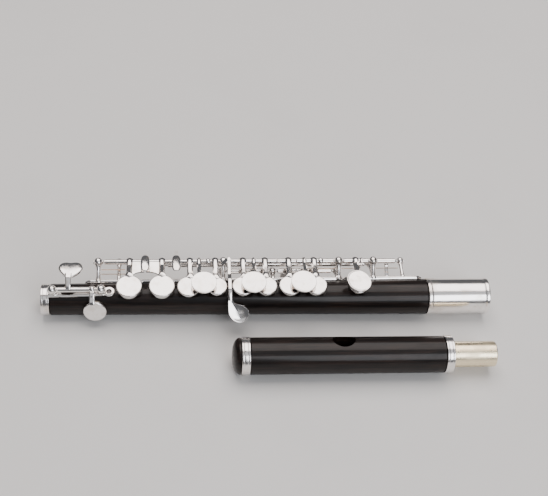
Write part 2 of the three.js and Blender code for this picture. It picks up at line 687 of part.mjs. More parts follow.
function piece(name, shape, finish) {
  const mesh = new THREE.Mesh(geometryOf(shape), new THREE.MeshStandardMaterial(finishes[finish]));
  mesh.name = name;
  return mesh;
}

const bodyJoint = new THREE.Group();
bodyJoint.add(
  piece('body_wood', bodyWood(), 'wood'),
  piece('foot_ring', footRingSolid(), 'silver'),
  piece('barrel', barrelSolid(), 'silver'),
  piece('socket_liner', socketLiner(), 'nickel'),
  piece('lower_rib', ribSolid(lowerRib, ribPosts.lower), 'silver'),
  piece('upper_rib', ribSolid(upperRib, ribPosts.upper), 'silver'),
  piece('foot_strap', footStrap(), 'silver'),
  piece('strap_screw', strapScrew(), 'steel'),
);

// Hinge steels run from post to post inside the tubes.
const steels = {
  right_hand_steel: ['main', 24.3, 84.6], left_hand_steel: ['main', 85.0, 140.2],
  c_key_steel: ['main', 140.6, 159.1], g_sharp_steel: ['side', 82.8, 108.35],
  thumb_steel: ['side', 108.75, 141.2], d_trill_steel: ['trillD', 33.9, 173.5],
  d_sharp_trill_steel: ['trillDSharp', 54.2, 159.0], e_flat_steel: ['foot', 3.9, 29.5],
};
Object.entries(steels).forEach(([name, [line, x0, x1]]) => {
  bodyJoint.add(piece(name, barX(x0, x1, steelRadius, lines[line]), 'steel'));
});

// Needle springs stand in their posts and run beside the hinge tubes.
const spring = { radius: 0.22, drop: 3.6 };
const onPost = (drop) => placeOn(rib.angle, 0, woodHeadRadius + lineStands.main - drop);
const needles = {
  d_spring: [27.5, 38.6, onPost(spring.drop)],
  e_spring: [27.5, 40.4, onPost(spring.drop + 2.1)],
  a_spring: [124.0, 138.95, onPost(spring.drop)],
  c_spring: [141.85, 147.6, onPost(spring.drop)],
  trill_spring: [159.0, 170.1, placeOn(58.9, 0, woodHeadRadius + 5.6)],
};
Object.entries(needles).forEach(([name, [x0, x1, [y, z]]]) => {
  bodyJoint.add(piece(name, barX(x0, x1, spring.radius, { y, z }, 6), 'bronze'));
});

// Every key's pieces turn together about its hinge line, from closed to where they stand at rest.
function addKey(keyName, line, restAngle, pieces) {
  const { y, z } = lines[line];
  const key = new THREE.Group();
  key.position.set(0, y, z);
  key.rotation.x = radians(restAngle);
  pieces.forEach(([name, shape, finish]) => {
    key.add(piece(name, shape.translate([0, -y, -z]), finish));
  });
  bodyJoint.add(key);
}

const pad = (name) => padSolid(cups[name]);

addKey('eFlat', 'foot', 0, [
  ['e_flat_key', keySolids.eFlat, 'silver'], ['e_flat_pad', pad('eFlat'), 'pad']]);
addKey('d', 'main', -openAngle, [['d_key', keySolids.d, 'silver'], ['d_pad', pad('d'), 'pad']]);
addKey('e', 'main', -openAngle, [['e_key', keySolids.e, 'silver'], ['e_pad', pad('e'), 'pad']]);
addKey('f', 'main', -openAngle, [
  ['f_key', keySolids.f, 'silver'], ['f_pad', pad('f'), 'pad'],
  ['right_index_touch', touchDisc(touches.rightIndex), 'silver']]);
addKey('fSharp', 'main', -openAngle, [
  ['f_sharp_key', keySolids.fSharp, 'silver'], ['f_sharp_pad', pad('fSharp'), 'pad']]);
addKey('g', 'main', -openAngle, [
  ['g_key', keySolids.g, 'silver'], ['lower_g_pad', pad('lowerG'), 'pad'],
  ['upper_g_pad', pad('upperG'), 'pad'], ['left_ring_touch', touchDisc(touches.leftRing), 'silver']]);
addKey('bFlat', 'main', -openAngle, [
  ['b_flat_key', keySolids.bFlat, 'silver'], ['b_flat_pad', pad('bFlat'), 'pad']]);
addKey('a', 'main', -openAngle, [
  ['a_key', keySolids.a, 'silver'], ['a_pad', pad('a'), 'pad'],
  ['left_middle_touch', touchDisc(touches.leftMiddle), 'silver']]);
addKey('c', 'main', -openAngle, [
  ['c_key', keySolids.c, 'silver'], ['c_pad', pad('c'), 'pad'],
  ['left_index_touch', touchDisc(touches.leftIndex), 'silver']]);
addKey('gSharp', 'side', 0, [
  ['g_sharp_key', keySolids.gSharp, 'silver'], ['g_sharp_pad', pad('gSharp'), 'pad']]);
addKey('thumbB', 'side', thumbOpenAngle, [
  ['thumb_b_key', keySolids.thumbB, 'silver'], ['thumb_b_pad', pad('thumbB'), 'pad']]);
addKey('thumbBFlat', 'side', thumbOpenAngle, [['thumb_b_flat_lever', keySolids.thumbBFlat, 'silver']]);
addKey('trillD', 'trillD', 0, [
  ['d_trill_key', keySolids.trillD, 'silver'], ['d_trill_pad', pad('trillD'), 'pad']]);
addKey('trillDSharp', 'trillDSharp', 0, [
  ['d_sharp_trill_key', keySolids.trillDSharp, 'silver'],
  ['d_sharp_trill_pad', pad('trillDSharp'), 'pad']]);

// The body joint tapers, so it lies on its foot ring and barrel with its axis a little off level.
const lie = Math.atan2(beadRadius - footRing.radius, barrelStart);
bodyJoint.rotation.y = -lie;
bodyJoint.position.z = footRing.radius * Math.cos(lie);

const ringInner = head.radius - head.collarDepth + gap;
const headJoint = new THREE.Group();
headJoint.add(
  piece('head_wood', headWood(), 'wood'),
  piece('crown_ring', plainRing(head.crown, headWoodStart, head.ringRadius, ringInner), 'silver'),
  piece('head_ring', plainRing(headWoodEnd, headRingEnd, head.ringRadius, head.tenonRadius + gap), 'silver'),
  piece('tenon', tenonTube(), 'nickel'),
  piece('stopper_cork', barX(corkStart, corkEnd, head.bore - gap, {}, sides.bore), 'cork'),
  piece('stopper_screw', stopperScrew(), 'nickel'),
  piece('crown', headCrown(), 'wood'),
);
headJoint.position.set(head.x, head.y, head.ringRadius);

const piccolo = new THREE.Group();
piccolo.add(bodyJoint, headJoint);
piccolo.updateMatrixWorld(true);

// The origin is the middle of the underside of the box round both joints.
const box = new THREE.Box3().setFromObject(piccolo, true);
const shift = new THREE.Vector3((box.min.x + box.max.x) / 2, (box.min.y + box.max.y) / 2, box.min.z);
piccolo.children.forEach((joint) => joint.position.sub(shift));
piccolo.updateMatrixWorld(true);

export default piccolo;
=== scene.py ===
"""A wooden piccolo in two joints, dressed over its fixed frame and laid out as an add-on.

Shapes are worked out in millimetres in each joint's own frame: x runs from the foot to the barrel end
(or from the crown to the tenon), and an angle of 0 points up and grows towards the rods. Keys are
shaped closed and then turned about their hinge lines to where they stand at rest.
"""

import json
import math

import bmesh
import bpy
import numpy as np
from mathutils import Matrix, Vector


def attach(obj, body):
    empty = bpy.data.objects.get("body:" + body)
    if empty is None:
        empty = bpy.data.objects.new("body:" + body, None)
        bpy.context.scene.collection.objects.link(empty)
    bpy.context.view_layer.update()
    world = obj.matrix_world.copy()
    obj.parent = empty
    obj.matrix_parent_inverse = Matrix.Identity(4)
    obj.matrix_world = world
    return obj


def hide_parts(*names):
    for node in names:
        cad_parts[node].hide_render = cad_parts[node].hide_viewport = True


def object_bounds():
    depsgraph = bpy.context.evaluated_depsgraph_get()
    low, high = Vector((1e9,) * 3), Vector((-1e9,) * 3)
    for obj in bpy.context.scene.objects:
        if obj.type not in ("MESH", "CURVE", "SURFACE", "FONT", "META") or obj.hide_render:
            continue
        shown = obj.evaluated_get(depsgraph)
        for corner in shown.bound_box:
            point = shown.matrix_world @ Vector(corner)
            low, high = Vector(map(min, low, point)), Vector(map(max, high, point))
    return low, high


bl_info = {
    "name": "Two-joint wooden piccolo",
    "version": (1, 0, 0),
    "blender": (4, 5, 0),
    "location": "View3D > Sidebar > Piccolo",
    "description": "Builds the finished surfaces and finishes of a wooden piccolo over its frame",
    "category": "Object",
}

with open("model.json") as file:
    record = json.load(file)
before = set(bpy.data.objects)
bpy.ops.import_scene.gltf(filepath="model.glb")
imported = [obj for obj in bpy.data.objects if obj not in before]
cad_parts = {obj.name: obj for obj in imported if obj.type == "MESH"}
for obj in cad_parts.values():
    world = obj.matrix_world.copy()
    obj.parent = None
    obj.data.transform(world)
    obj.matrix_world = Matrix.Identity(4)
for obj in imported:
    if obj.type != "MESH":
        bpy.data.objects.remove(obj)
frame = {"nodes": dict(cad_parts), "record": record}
cad_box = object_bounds()
record = frame["record"]
joints = {joint["name"]: joint for joint in record["behaviour"]["joints"]}
mounts = {mount["name"]: mount for mount in record["mounts"]}

MM = 0.001
ALONG = np.array([1.0, 0.0, 0.0])
SIDEWAYS = np.array([0.0, 1.0, 0.0])
UPWARDS = np.array([0.0, 0.0, 1.0])

# ---- Sizes, in millimetres ---------------------------------------------------------------------

GAP = 0.3
BODY = {"length": 213.0, "barrel": 30.1, "foot_ring": 3.9, "socket": 20.7}
WOOD = {"foot": 7.3, "head": 8.5, "bore_foot": 4.5, "bore_head": 5.3, "ring_tenon": 6.4}
BARREL = {"radius": 8.75, "bead": 8.95, "bead_length": 2.2, "wall": 0.9}
LINER = {"outer": 6.65, "inner": 6.2}
FOOT_RING_RADIUS = 7.45
FOOT_MOUNT_HEIGHT = 6.0
SEAT_DEPTH = 0.6
PAD_GAP = 0.15
PAD_STAND = 1.0
CUP_WALL = 0.45
CUP_ROOF = 0.65
STRAP_EYE = 31.4
CROWN_POWER = 2.3
THREAD_PITCH = 0.75
SHARP_EDGE = 32.0

TONE, BACK, FOOT_HOLE, RIB, STRAP = -15.0, 105.0, -79.0, 47.5, -17.0

HEAD = {
    "crown": 4.1, "crown_ring": 3.8, "wood": 89.8, "ring": 3.65, "tenon": 20.6, "sleeve": 14.0,
    "radius": 8.45, "ring_radius": 8.8, "bore": 5.3, "tenon_radius": 5.9, "collar": 6.85,
}
SHOULDER_MOUNT = (101.35, 7.3)
BLOW_HOLE = {"x": 50.6, "half_length": 5.3, "half_width": 4.3, "angle": 19.0}
STOPPER = {"end": 43.1, "length": 8.5}

# Cups by pad: place along the joint, angle round it, hole radius, cup radius and cup height.
CUPS = {
    "e_flat": (25.0, FOOT_HOLE, 2.9, 5.3, 3.1),
    "d": (40.7, TONE, 2.7, 5.95, 3.9),
    "e": (55.75, TONE, 2.7, 5.98, 3.9),
    "f": (68.2, TONE, 2.6, 5.4, 3.1),
    "f_sharp": (81.3, TONE, 2.4, 4.8, 3.1),
    "lower_g": (93.5, TONE, 2.5, 5.1, 3.1),
    "upper_g": (104.4, TONE, 2.5, 5.1, 3.1),
    "b_flat": (115.75, TONE, 2.4, 5.3, 3.1),
    "a": (127.85, TONE, 2.4, 5.3, 3.1),
    "c": (148.2, TONE, 2.0, 4.6, 2.9),
    "g_sharp": (99.0, BACK, 2.4, 5.0, 2.9),
    "thumb_b": (131.0, BACK, 2.4, 5.0, 2.9),
    "d_trill": (165.5, BACK, 1.9, 4.4, 2.9),
    "d_sharp_trill": (152.0, BACK, 1.9, 4.4, 2.9),
}

# Main keys: hinge tube, cups with the x of their arms, touch and collar.
MAIN_KEYS = {
    "d": {"tube": (28.8, 47.6), "cups": {"d": 40.7}, "web": (41.9, 47.4)},
    "e": {"tube": (48.0, 62.2), "cups": {"e": 55.8}, "web": (54.6, 48.4)},
    "f": {"tube": (62.6, 79.2), "cups": {"f": 68.9}, "touch": "right_index", "collar": (77.6, 1.6)},
    "f_sharp": {"tube": (79.6, 82.2), "cups": {"f_sharp": 80.9}},
    "g": {"tube": (87.4, 110.2), "cups": {"lower_g": 94.1, "upper_g": 104.6}, "touch": "left_ring"},
    "b_flat": {"tube": (110.6, 119.6), "cups": {"b_flat": 115.9}},
    "a": {"tube": (120.0, 137.8), "cups": {"a": 128.2}, "touch": "left_middle", "collar": (131.6, 1.7)},
    "c": {"tube": (143.0, 154.7), "cups": {"c": 148.5}, "touch": "left_index", "lug": 151.4},
}

# Finger touches: x of disc and arm, radius, height over the wood and lean towards the head end.
TOUCHES = {
    "right_index": (75.2, 73.2, 5.95, 5.6, 0.0),
    "left_ring": (98.4, 99.2, 5.85, 5.5, 0.0),
    "left_middle": (121.8, 123.6, 6.0, 5.6, 0.0),
    "left_index": (147.9, 148.5, 5.95, 5.55, 9.0),
}

# Posts by the fitting that carries them: x and the joint whose hinge line each one holds.
POSTS = {
    "lower_rib": [
        (26.05, "d_pivot"), (35.6, "d_trill_pivot"), (55.9, "d_sharp_trill_pivot"), (84.8, "d_pivot"),
        (84.3, "g_sharp_pivot"), (108.55, "g_sharp_pivot"), (139.6, "g_sharp_pivot"), (140.4, "d_pivot"),
    ],
    "upper_rib": [(157.3, "d_pivot"), (157.3, "d_sharp_trill_pivot"), (171.8, "d_trill_pivot")],
    "foot_strap": [(5.6, "e_flat_pivot"), (27.83, "e_flat_pivot")],
}
RIBS = {"lower_rib": (20.0, 141.6), "upper_rib": (142.2, 181.0)}
RIB_SIZE = {"width": 3.0, "thickness": 1.2, "tip": 2.4}

STEELS = [
    "right_hand_steel", "left_hand_steel", "c_key_steel", "g_sharp_steel", "thumb_steel",
    "d_trill_steel", "d_sharp_trill_steel", "e_flat_steel",
]
NEEDLES = ["d_spring", "e_spring", "a_spring", "c_spring", "trill_spring"]


# ---- Settings a user would change --------------------------------------------------------------

def length(name, words, default):
    return bpy.props.FloatProperty(name=name, description=words, default=default, min=0.0, unit="LENGTH",
                                   precision=5)


def colour(name, words, default):
    return bpy.props.FloatVectorProperty(name=name, description=words, default=default, size=3, min=0.0,
                                         max=1.0, subtype="COLOR")


def share(name, words, default):
    return bpy.props.FloatProperty(name=name, description=words, default=default, min=0.0, max=1.0,
                                   subtype="FACTOR")


class PiccoloSizes(bpy.types.PropertyGroup):
    """Small sizes of the keywork that don't change how anything fits."""

    tube_radius: length("Hinge tube", "Radius of the tubes the keys turn on", 0.00125)
    ball_radius: length("Post ball", "Radius of the ball on a main post", 0.0022)
    arm_width: length("Arm width", "Width of a main key's arm at the rod", 0.0030)
    cup_edge: length("Cup edge", "Radius of the rounding round a cup's top", 0.00055)
    cup_dome: length("Cup dome", "Rise of a cup's top at its middle", 0.00012)
    touch_thickness: length("Touch thickness", "Thickness of a finger touch", 0.001)
    groove: length("Ring groove", "Depth of the turned grooves in rings and barrel", 0.00014)


class PiccoloFinishes(bpy.types.PropertyGroup):
    """Colours and polish of the materials."""

    wood: colour("Grenadilla", "Darkest tone of the wood", (0.0060, 0.0044, 0.0042))
    wood_grain: colour("Grain", "Lighter tone along the grain", (0.030, 0.017, 0.013))
    silver: colour("Silver plate", "Colour of clean plate", (0.935, 0.905, 0.885))
    tarnish: colour("Tarnish", "Warm tone of plate that is less clean", (0.78, 0.72, 0.66))
    nickel: colour("Nickel silver", "Colour of the bare tenon", (0.90, 0.76, 0.54))
    steel: colour("Steel", "Colour of hinge steels and screws", (0.56, 0.57, 0.58))
    # Painted shade: the strap screw's steel is darkened to stand for the shade in its countersunk recess.
    screw_shade_steel: colour("Screw steel in painted shade", "Colour of the strap's screw", (0.11, 0.10, 0.10))
    bronze: colour("Spring bronze", "Colour of the needle springs", (0.80, 0.62, 0.50))
    pad: colour("Pad skin", "Colour of the pads", (0.72, 0.66, 0.56))
    cork: colour("Cork", "Colour of the stopper", (0.50, 0.32, 0.17))
    wood_polish: share("Wood roughness", "Roughness of the oiled wood", 0.36)
    silver_polish: share("Silver roughness", "Roughness of the polished plate", 0.10)


class PiccoloStage(bpy.types.PropertyGroup):
    """The floor, the lights and the camera."""

    floor: colour("Floor", "Colour of the plain floor", (0.80, 0.79, 0.775))
    lens: bpy.props.FloatProperty(name="Lens", description="Focal length", default=65.9, min=10.0,
                                  unit="CAMERA")
    overhead: bpy.props.FloatProperty(name="Overhead", description="Power of the overhead softbox",
                                      default=26.0, min=0.0, unit="POWER")
    front: bpy.props.FloatProperty(name="Front", description="Power of the front softbox", default=8.0,
                                   min=0.0, unit="POWER")
    fill: bpy.props.FloatProperty(name="Fill", description="Power of the large dim softbox", default=4.0,
                                  min=0.0, unit="POWER")
    world: share("Surroundings", "Brightness of the room", 0.12)


def sizes():
    return bpy.context.scene.piccolo_sizes


def finishes():
    return bpy.context.scene.piccolo_finishes


def in_mm(metres):
    return metres / MM


# ---- The two joints' frames --------------------------------------------------------------------

body_along = -np.array(mounts["foot_end"]["axis"])
body_along /= np.linalg.norm(body_along)
body_up = np.cross(body_along, SIDEWAYS)
body_axes = np.array([body_along, SIDEWAYS, body_up])
body_origin = np.array(mounts["foot_end"]["pos_m"]) - FOOT_MOUNT_HEIGHT * MM * body_up
head_origin = np.array(mounts["head_ring_shoulder"]["pos_m"])
head_origin = head_origin - MM * (SHOULDER_MOUNT[0] * ALONG + SHOULDER_MOUNT[1] * UPWARDS)


def on_body(points):
    """Body joint millimetres to metres in the frame: origin + x along + y sideways + z up."""
    return body_origin + (points * MM) @ body_axes


def on_head(points):
    return head_origin + points * MM


def hinge_line(joint):
    """Where a joint's hinge line crosses the body joint's own y and z, in millimetres."""
    place = (np.array(joints[joint]["pos_m"]) - body_origin) @ body_axes.T
    return place[1:] / MM


def rest_turn(joint):
    """How far a key is turned at rest from closed: an open-standing key's range ends when it closes."""
    low, high = joints[joint]["range_deg"]
    standing_closed = joint in ("e_flat_pivot", "g_sharp_pivot", "d_trill_pivot", "d_sharp_trill_pivot")
    return 0.0 if standing_closed else -math.radians(low + high)


def on_key(joint):
    """Points of a closed key, turned about its hinge line by the rest angle, then put in the frame."""
    y, z = hinge_line(joint)
    turn = rest_turn(joint)
    spin_matrix = np.array([[1, 0, 0], [0, math.cos(turn), -math.sin(turn)],
                            [0, math.sin(turn), math.cos(turn)]])
    pivot = np.array([0.0, y, z])
    return lambda points: on_body((points - pivot) @ spin_matrix.T + pivot)


def outward(angle):
    return np.array([0.0, math.sin(math.radians(angle)), math.cos(math.radians(angle))])


def around(angle):
    return np.array([0.0, math.cos(math.radians(angle)), -math.sin(math.radians(angle))])


def place_on(angle, s, h):
    """A place s round the joint from the line at an angle, and h out from the axis."""
    return s * around(angle) + h * outward(angle)


def wood_radius(x):
    span = BODY["length"] - BODY["barrel"] - BODY["foot_ring"]
    return WOOD["foot"] + (WOOD["head"] - WOOD["foot"]) * (x - BODY["foot_ring"]) / span


def seat_height(x):
    return wood_radius(x) - SEAT_DEPTH


def cup_top(name):
    x, _, _, _, height = CUPS[name]
    return seat_height(x) + PAD_GAP + height


# ---- Surfaces ----------------------------------------------------------------------------------

def spin(profile, foot=(0, 0, 0), axis=ALONG, side=UPWARDS, sides=64):
    """Turned surface from (along, radius) rows: foot + along axis + radius (cos a side + sin a other)."""
    rows = np.asarray(profile, float)
    turns = np.linspace(0, 2 * np.pi, sides, endpoint=False)[:, None]
    ring = np.cos(turns) * side + np.sin(turns) * np.cross(axis, side)
    return np.asarray(foot, float) + rows[:, None, :1] * axis + rows[:, None, 1:] * ring


def sweep(path, across, over, section):
    """A section of (a, b) rows carried along a path: path + a across + b over, closed at both ends."""
    path = np.asarray(path, float)
    across = np.broadcast_to(across, path.shape)
    over = np.broadcast_to(over, path.shape)
    section = np.asarray(section, float)
    if section.ndim == 2:
        section = np.broadcast_to(section, (len(path), *section.shape))
    grid = path[:, None] + section[..., :1] * across[:, None] + section[..., 1:] * over[:, None]
    ends = [np.broadcast_to(row.mean(0), (1, *row.shape)) for row in (grid[0], grid[-1])]
    return np.concatenate([ends[0], grid, ends[1]])


def directions(path):
    """Unit vectors along a path, one at each of its points."""
    ahead = np.gradient(path, axis=0)
    return ahead / np.linalg.norm(ahead, axis=1, keepdims=True)


def flow(points, steps=6):
    """A Catmull-Rom curve through the rows of points: every column follows the same cubic blend."""
    p = np.asarray(points, float)
    p = np.vstack([2 * p[0] - p[1], p, 2 * p[-1] - p[-2]])
    t = np.linspace(0, 1, steps, endpoint=False)[None, :, None]
    a, b, c, d = (p[i:len(p) - 3 + i, None] for i in range(4))
    curve = 0.5 * (2 * b + (c - a) * t + (2 * a - 5 * b + 4 * c - d) * t**2 + (3 * b - a - 3 * c + d) * t**3)
    return np.vstack([curve.reshape(-1, p.shape[1]), p[-2]])


def pillow(count=24, power=4.0):
    """A superellipse: cos and sin raised to 2 / power, which rounds a rectangle's corners."""
    turns = np.linspace(0, 2 * np.pi, count, endpoint=False)
    wave = np.stack([np.cos(turns), np.sin(turns)], 1)
    return np.sign(wave) * np.abs(wave) ** (2 / power)


def ridge(flat):
    """A roof-shaped section whose flat top takes a share of its width, for each share in the array."""
    flat = np.atleast_1d(np.asarray(flat, float))
    edge = np.array([(-1, -1), (1, -1), (1, 0.1), (0, 1), (0, 1), (-1, 0.1)], float)
    rows = np.repeat(edge[None], len(flat), 0)
    rows[:, 3, 0] = flat
    rows[:, 4, 0] = -flat
    return rows


def rounded(corners, radius, steps=5):
    """Cuts each inner corner of a profile by a quadratic arc that starts and ends radius away."""
    p = np.asarray(corners, float)
    rows = [p[:1]]
    t = np.linspace(0, 1, steps)[:, None]
    for before, corner, after in zip(p[:-2], p[1:-1], p[2:]):
        room = [min(radius, 0.45 * np.linalg.norm(end - corner)) for end in (before, after)]
        start = corner + (before - corner) * room[0] / max(np.linalg.norm(before - corner), 1e-9)
        finish = corner + (after - corner) * room[1] / max(np.linalg.norm(after - corner), 1e-9)
        rows.append((1 - t) ** 2 * start + 2 * t * (1 - t) * corner + t**2 * finish)
    return np.vstack([*rows, p[-1:]])


def plate(outline, centre, rows, basis, origin):
    """A plate from an outline round a centre: each row (share, inset, height) draws the outline in to
    a share of its distance, less an inset, and sets it at a height along the third basis vector."""
    arm = np.asarray(outline, float) - centre
    reach = np.linalg.norm(arm, axis=1, keepdims=True)
    rows = np.asarray(rows, float)
    flat = centre + arm * np.maximum(rows[:, :1, None] - rows[:, 1:2, None] / reach, 0)
    u, v, w = basis
    return np.asarray(origin, float) + flat[..., :1] * u + flat[..., 1:] * v + rows[:, 2:, None] * w


def half_moon(foot, axis, side, radius, slot, thickness, sign):
    """Half of a screw's head beside its slot: a chord and an arc, drawn in towards their middle."""
    start = math.asin(slot / radius)
    turns = np.linspace(start, np.pi - start, 18)
    outline = np.stack([radius * np.cos(turns), sign * radius * np.sin(turns)], 1)
    rows = [(0, 0, 0), (1, 0, 0), (1, 0, thickness * 0.7), (1, thickness * 0.3, thickness), (0, 0, thickness)]
    centre = np.array([0, sign * radius * 0.5])
    return plate(outline, centre, rows, (side, np.cross(axis, side), axis), foot)


def slotted_end(foot, axis, side, radius):
    """A screw's slotted head: two half moons over a sunk disc."""
    thickness = radius * 0.3
    disc = [(-0.1, 0), (-0.1, radius * 0.97), (thickness * 0.35, radius * 0.97), (thickness * 0.35, 0)]
    halves = [half_moon(foot, axis, side, radius, radius * 0.16, thickness, sign) for sign in (1, -1)]
    return [spin(disc, foot, axis, side, 24), *halves]


def hinge_tube(joint, x0, x1, bore=0.8, bevel=0.12):
    """A tube round a joint's hinge line: a closed turned profile with small bevels at both ends."""
    radius = in_mm(sizes().tube_radius)
    profile = [(x0, bore), (x0, radius - bevel), (x0 + bevel, radius), (x1 - bevel, radius),
               (x1, radius - bevel), (x1, bore), (x0, bore)]
    return spin(profile, (0, *hinge_line(joint)), sides=32)


# ---- Meshes ------------------------------------------------------------------------------------

def grid_quads(rows, columns, first):
    """Corner numbers of the quads of a grid that is closed round its columns."""
    i, j = np.meshgrid(np.arange(rows - 1), np.arange(columns), indexing="ij")
    k = (j + 1) % columns
    quads = np.stack([i * columns + j, i * columns + k, (i + 1) * columns + k, (i + 1) * columns + j], -1)
    return quads.reshape(-1, 4) + first


def mesh_of(name, grids, place=None):
    """One mesh from grids of points: doubles merged, faces turned outwards, crisp edges kept sharp."""
    points = [grid.reshape(-1, 3) for grid in grids]
    firsts = np.cumsum([0] + [len(p) for p in points])
    quads = [grid_quads(grid.shape[0], grid.shape[1], first) for grid, first in zip(grids, firsts)]
    points = np.concatenate(points)
    points = place(points) if place else points
    mesh = bpy.data.meshes.new(name)
    mesh.from_pydata(points.tolist(), [], np.concatenate(quads).tolist())
    clean(mesh)
    shade(mesh)
    return mesh


def clean(mesh):
    work = bmesh.new()
    work.from_mesh(mesh)
    bmesh.ops.remove_doubles(work, verts=work.verts, dist=2e-7)
    bmesh.ops.dissolve_degenerate(work, edges=work.edges, dist=1e-8)
    bmesh.ops.recalc_face_normals(work, faces=work.faces)
    work.to_mesh(mesh)
    work.free()


def shade(mesh):
    mesh.shade_smooth()
    mesh.set_sharp_from_angle(angle=math.radians(SHARP_EDGE))


def piece(name, mesh, finish, body, nodes):
    """Links a mesh as a piece that rides on a body and stands for CAD nodes."""
    thing = bpy.data.objects.new(name, mesh)
    bpy.context.scene.collection.objects.link(thing)
    mesh.materials.clear()
    mesh.materials.append(finish_material(finish))
    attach(thing, body)
    if nodes:
        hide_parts(*nodes)


def carve(name, mesh, cutters):
    """The mesh less its cutters, worked out by an exact Boolean."""
    blank = bpy.data.objects.new(name, mesh)
    tool = bpy.data.objects.new(name + "_tool", cutters)
    for thing in (blank, tool):
        bpy.context.scene.collection.objects.link(thing)
    cut = blank.modifiers.new("holes", "BOOLEAN")
    cut.object = tool
    cut.solver = "EXACT"
    bpy.context.view_layer.update()
    ready = blank.evaluated_get(bpy.context.evaluated_depsgraph_get())
    carved = bpy.data.meshes.new_from_object(ready)
    bpy.data.objects.remove(blank)
    bpy.data.objects.remove(tool)
    carved.name = name
    shade(carved)
    return carved


# ---- Materials ---------------------------------------------------------------------------------

def node(tree, kind, at, **values):
    """Adds a node and sets its properties and the sockets that its values name."""
    made = tree.nodes.new(kind)
    made.location = at
    for key, value in values.items():
        if hasattr(made, key):
            setattr(made, key, value)
        else:
            made.inputs[key.replace("_", " ")].default_value = value
    return made


def new_group(name, inputs, outputs):
    """A node group with its sockets: inputs by name, kind and default, and outputs that are numbers."""
    group = bpy.data.node_groups.new(name, "ShaderNodeTree")
    for label, kind, default in inputs:
        made = group.interface.new_socket(name=label, in_out="INPUT", socket_type="NodeSocket" + kind)
        if default is not None:
            made.default_value = default
    for label in outputs:
        group.interface.new_socket(name=label, in_out="OUTPUT", socket_type="NodeSocketFloat")
    return group, node(group, "NodeGroupInput", (-700, 0)), node(group, "NodeGroupOutput", (500, 0))


def streaks_group():
    """Noise drawn out along x: fine lines, and a height where a broad variation breaks them up."""
    if "lengthwise_streaks" in bpy.data.node_groups:
        return bpy.data.node_groups["lengthwise_streaks"]
    inputs = [("Vector", "Vector", None), ("Stretch", "Vector", (60.0, 900.0, 900.0)),
              ("Detail", "Float", 4.0)]
    group, into, out = new_group("lengthwise_streaks", inputs, ["Lines", "Height"])
    stretch = node(group, "ShaderNodeVectorMath", (-480, 80), operation="MULTIPLY")
    lines = node(group, "ShaderNodeTexNoise", (-260, 160), Scale=1.0, Roughness=0.62)
    broad = node(group, "ShaderNodeTexNoise", (-260, -120), Scale=55.0, Roughness=0.5, Detail=2.0)
    sharpen = node(group, "ShaderNodeMapRange", (0, 160), interpolation_type="SMOOTHSTEP")
    sharpen.inputs["From Min"].default_value = 0.38
    sharpen.inputs["From Max"].default_value = 0.66
    both = node(group, "ShaderNodeMath", (220, -40), operation="MULTIPLY")
    link = group.links.new
    link(into.outputs["Vector"], stretch.inputs[0])
    link(into.outputs["Stretch"], stretch.inputs[1])
    link(stretch.outputs["Vector"], lines.inputs["Vector"])
    link(into.outputs["Detail"], lines.inputs["Detail"])
    link(into.outputs["Vector"], broad.inputs["Vector"])
    link(lines.outputs["Fac"], sharpen.inputs["Value"])
    link(sharpen.outputs["Result"], both.inputs[0])
    link(broad.outputs["Fac"], both.inputs[1])
    link(sharpen.outputs["Result"], out.inputs["Lines"])
    link(both.outputs["Value"], out.inputs["Height"])
    return group


def handling_group():
    """Soft cloudy marks of handling: a mask, and a roughness that the mask raises by the spread."""
    if "handling_marks" in bpy.data.node_groups:
        return bpy.data.node_groups["handling_marks"]
    inputs = [("Vector", "Vector", None), ("Scale", "Float", 220.0), ("Polish", "Float", 0.1),
              ("Spread", "Float", 0.08)]
    group, into, out = new_group("handling_marks", inputs, ["Mask", "Roughness"])
    cloud = node(group, "ShaderNodeTexNoise", (-460, 120), Detail=5.0, Roughness=0.6)
    mask = node(group, "ShaderNodeMapRange", (-220, 120), interpolation_type="SMOOTHSTEP")
    mask.inputs["From Min"].default_value = 0.46
    mask.inputs["From Max"].default_value = 0.72
    rough = node(group, "ShaderNodeMath", (60, -60), operation="MULTIPLY_ADD")
    link = group.links.new
    link(into.outputs["Vector"], cloud.inputs["Vector"])
    link(into.outputs["Scale"], cloud.inputs["Scale"])
    link(cloud.outputs["Fac"], mask.inputs["Value"])
    link(mask.outputs["Result"], rough.inputs[0])
    link(into.outputs["Spread"], rough.inputs[1])
    link(into.outputs["Polish"], rough.inputs[2])
    link(mask.outputs["Result"], out.inputs["Mask"])
    link(rough.outputs["Value"], out.inputs["Roughness"])
    return group


def bare_material(name, metallic, **values):
    """A material with its shader, its Object coordinates and the named values on the shader itself."""
    made = bpy.data.materials.new(name + "_finish")
    made.use_nodes = True
    tree = made.node_tree
    shader = tree.nodes["Principled BSDF"]
    shader.inputs["Metallic"].default_value = metallic
    for key, value in values.items():
        shader.inputs[key.replace("_", " ")].default_value = value
    coordinates = node(tree, "ShaderNodeTexCoord", (-1100, 0))
    return made, tree, shader, coordinates.outputs["Object"]


def placed_group(tree, group, at, vector, **values):
    made = node(tree, "ShaderNodeGroup", at)
    made.node_tree = group
    for key, value in values.items():
        made.inputs[key].default_value = value
    tree.links.new(vector, made.inputs["Vector"])
    return made


def handling(tree, shader, vector, height, **values):
    """Handling marks placed in the tree, with their roughness on the shader."""
    marks = placed_group(tree, handling_group(), (-760, height), vector, **values)
    tree.links.new(marks.outputs["Roughness"], shader.inputs["Roughness"])
    return marks


def two_tones(tree, shader, mask, dark, light):
    """Base colour: dark where the mask is 0 and light where it is 1."""
    mix = node(tree, "ShaderNodeMix", (-300, 240), data_type="RGBA")
    mix.inputs[6].default_value = (*dark, 1.0)
    mix.inputs[7].default_value = (*light, 1.0)
    tree.links.new(mask, mix.inputs[0])
    tree.links.new(mix.outputs[2], shader.inputs["Base Color"])


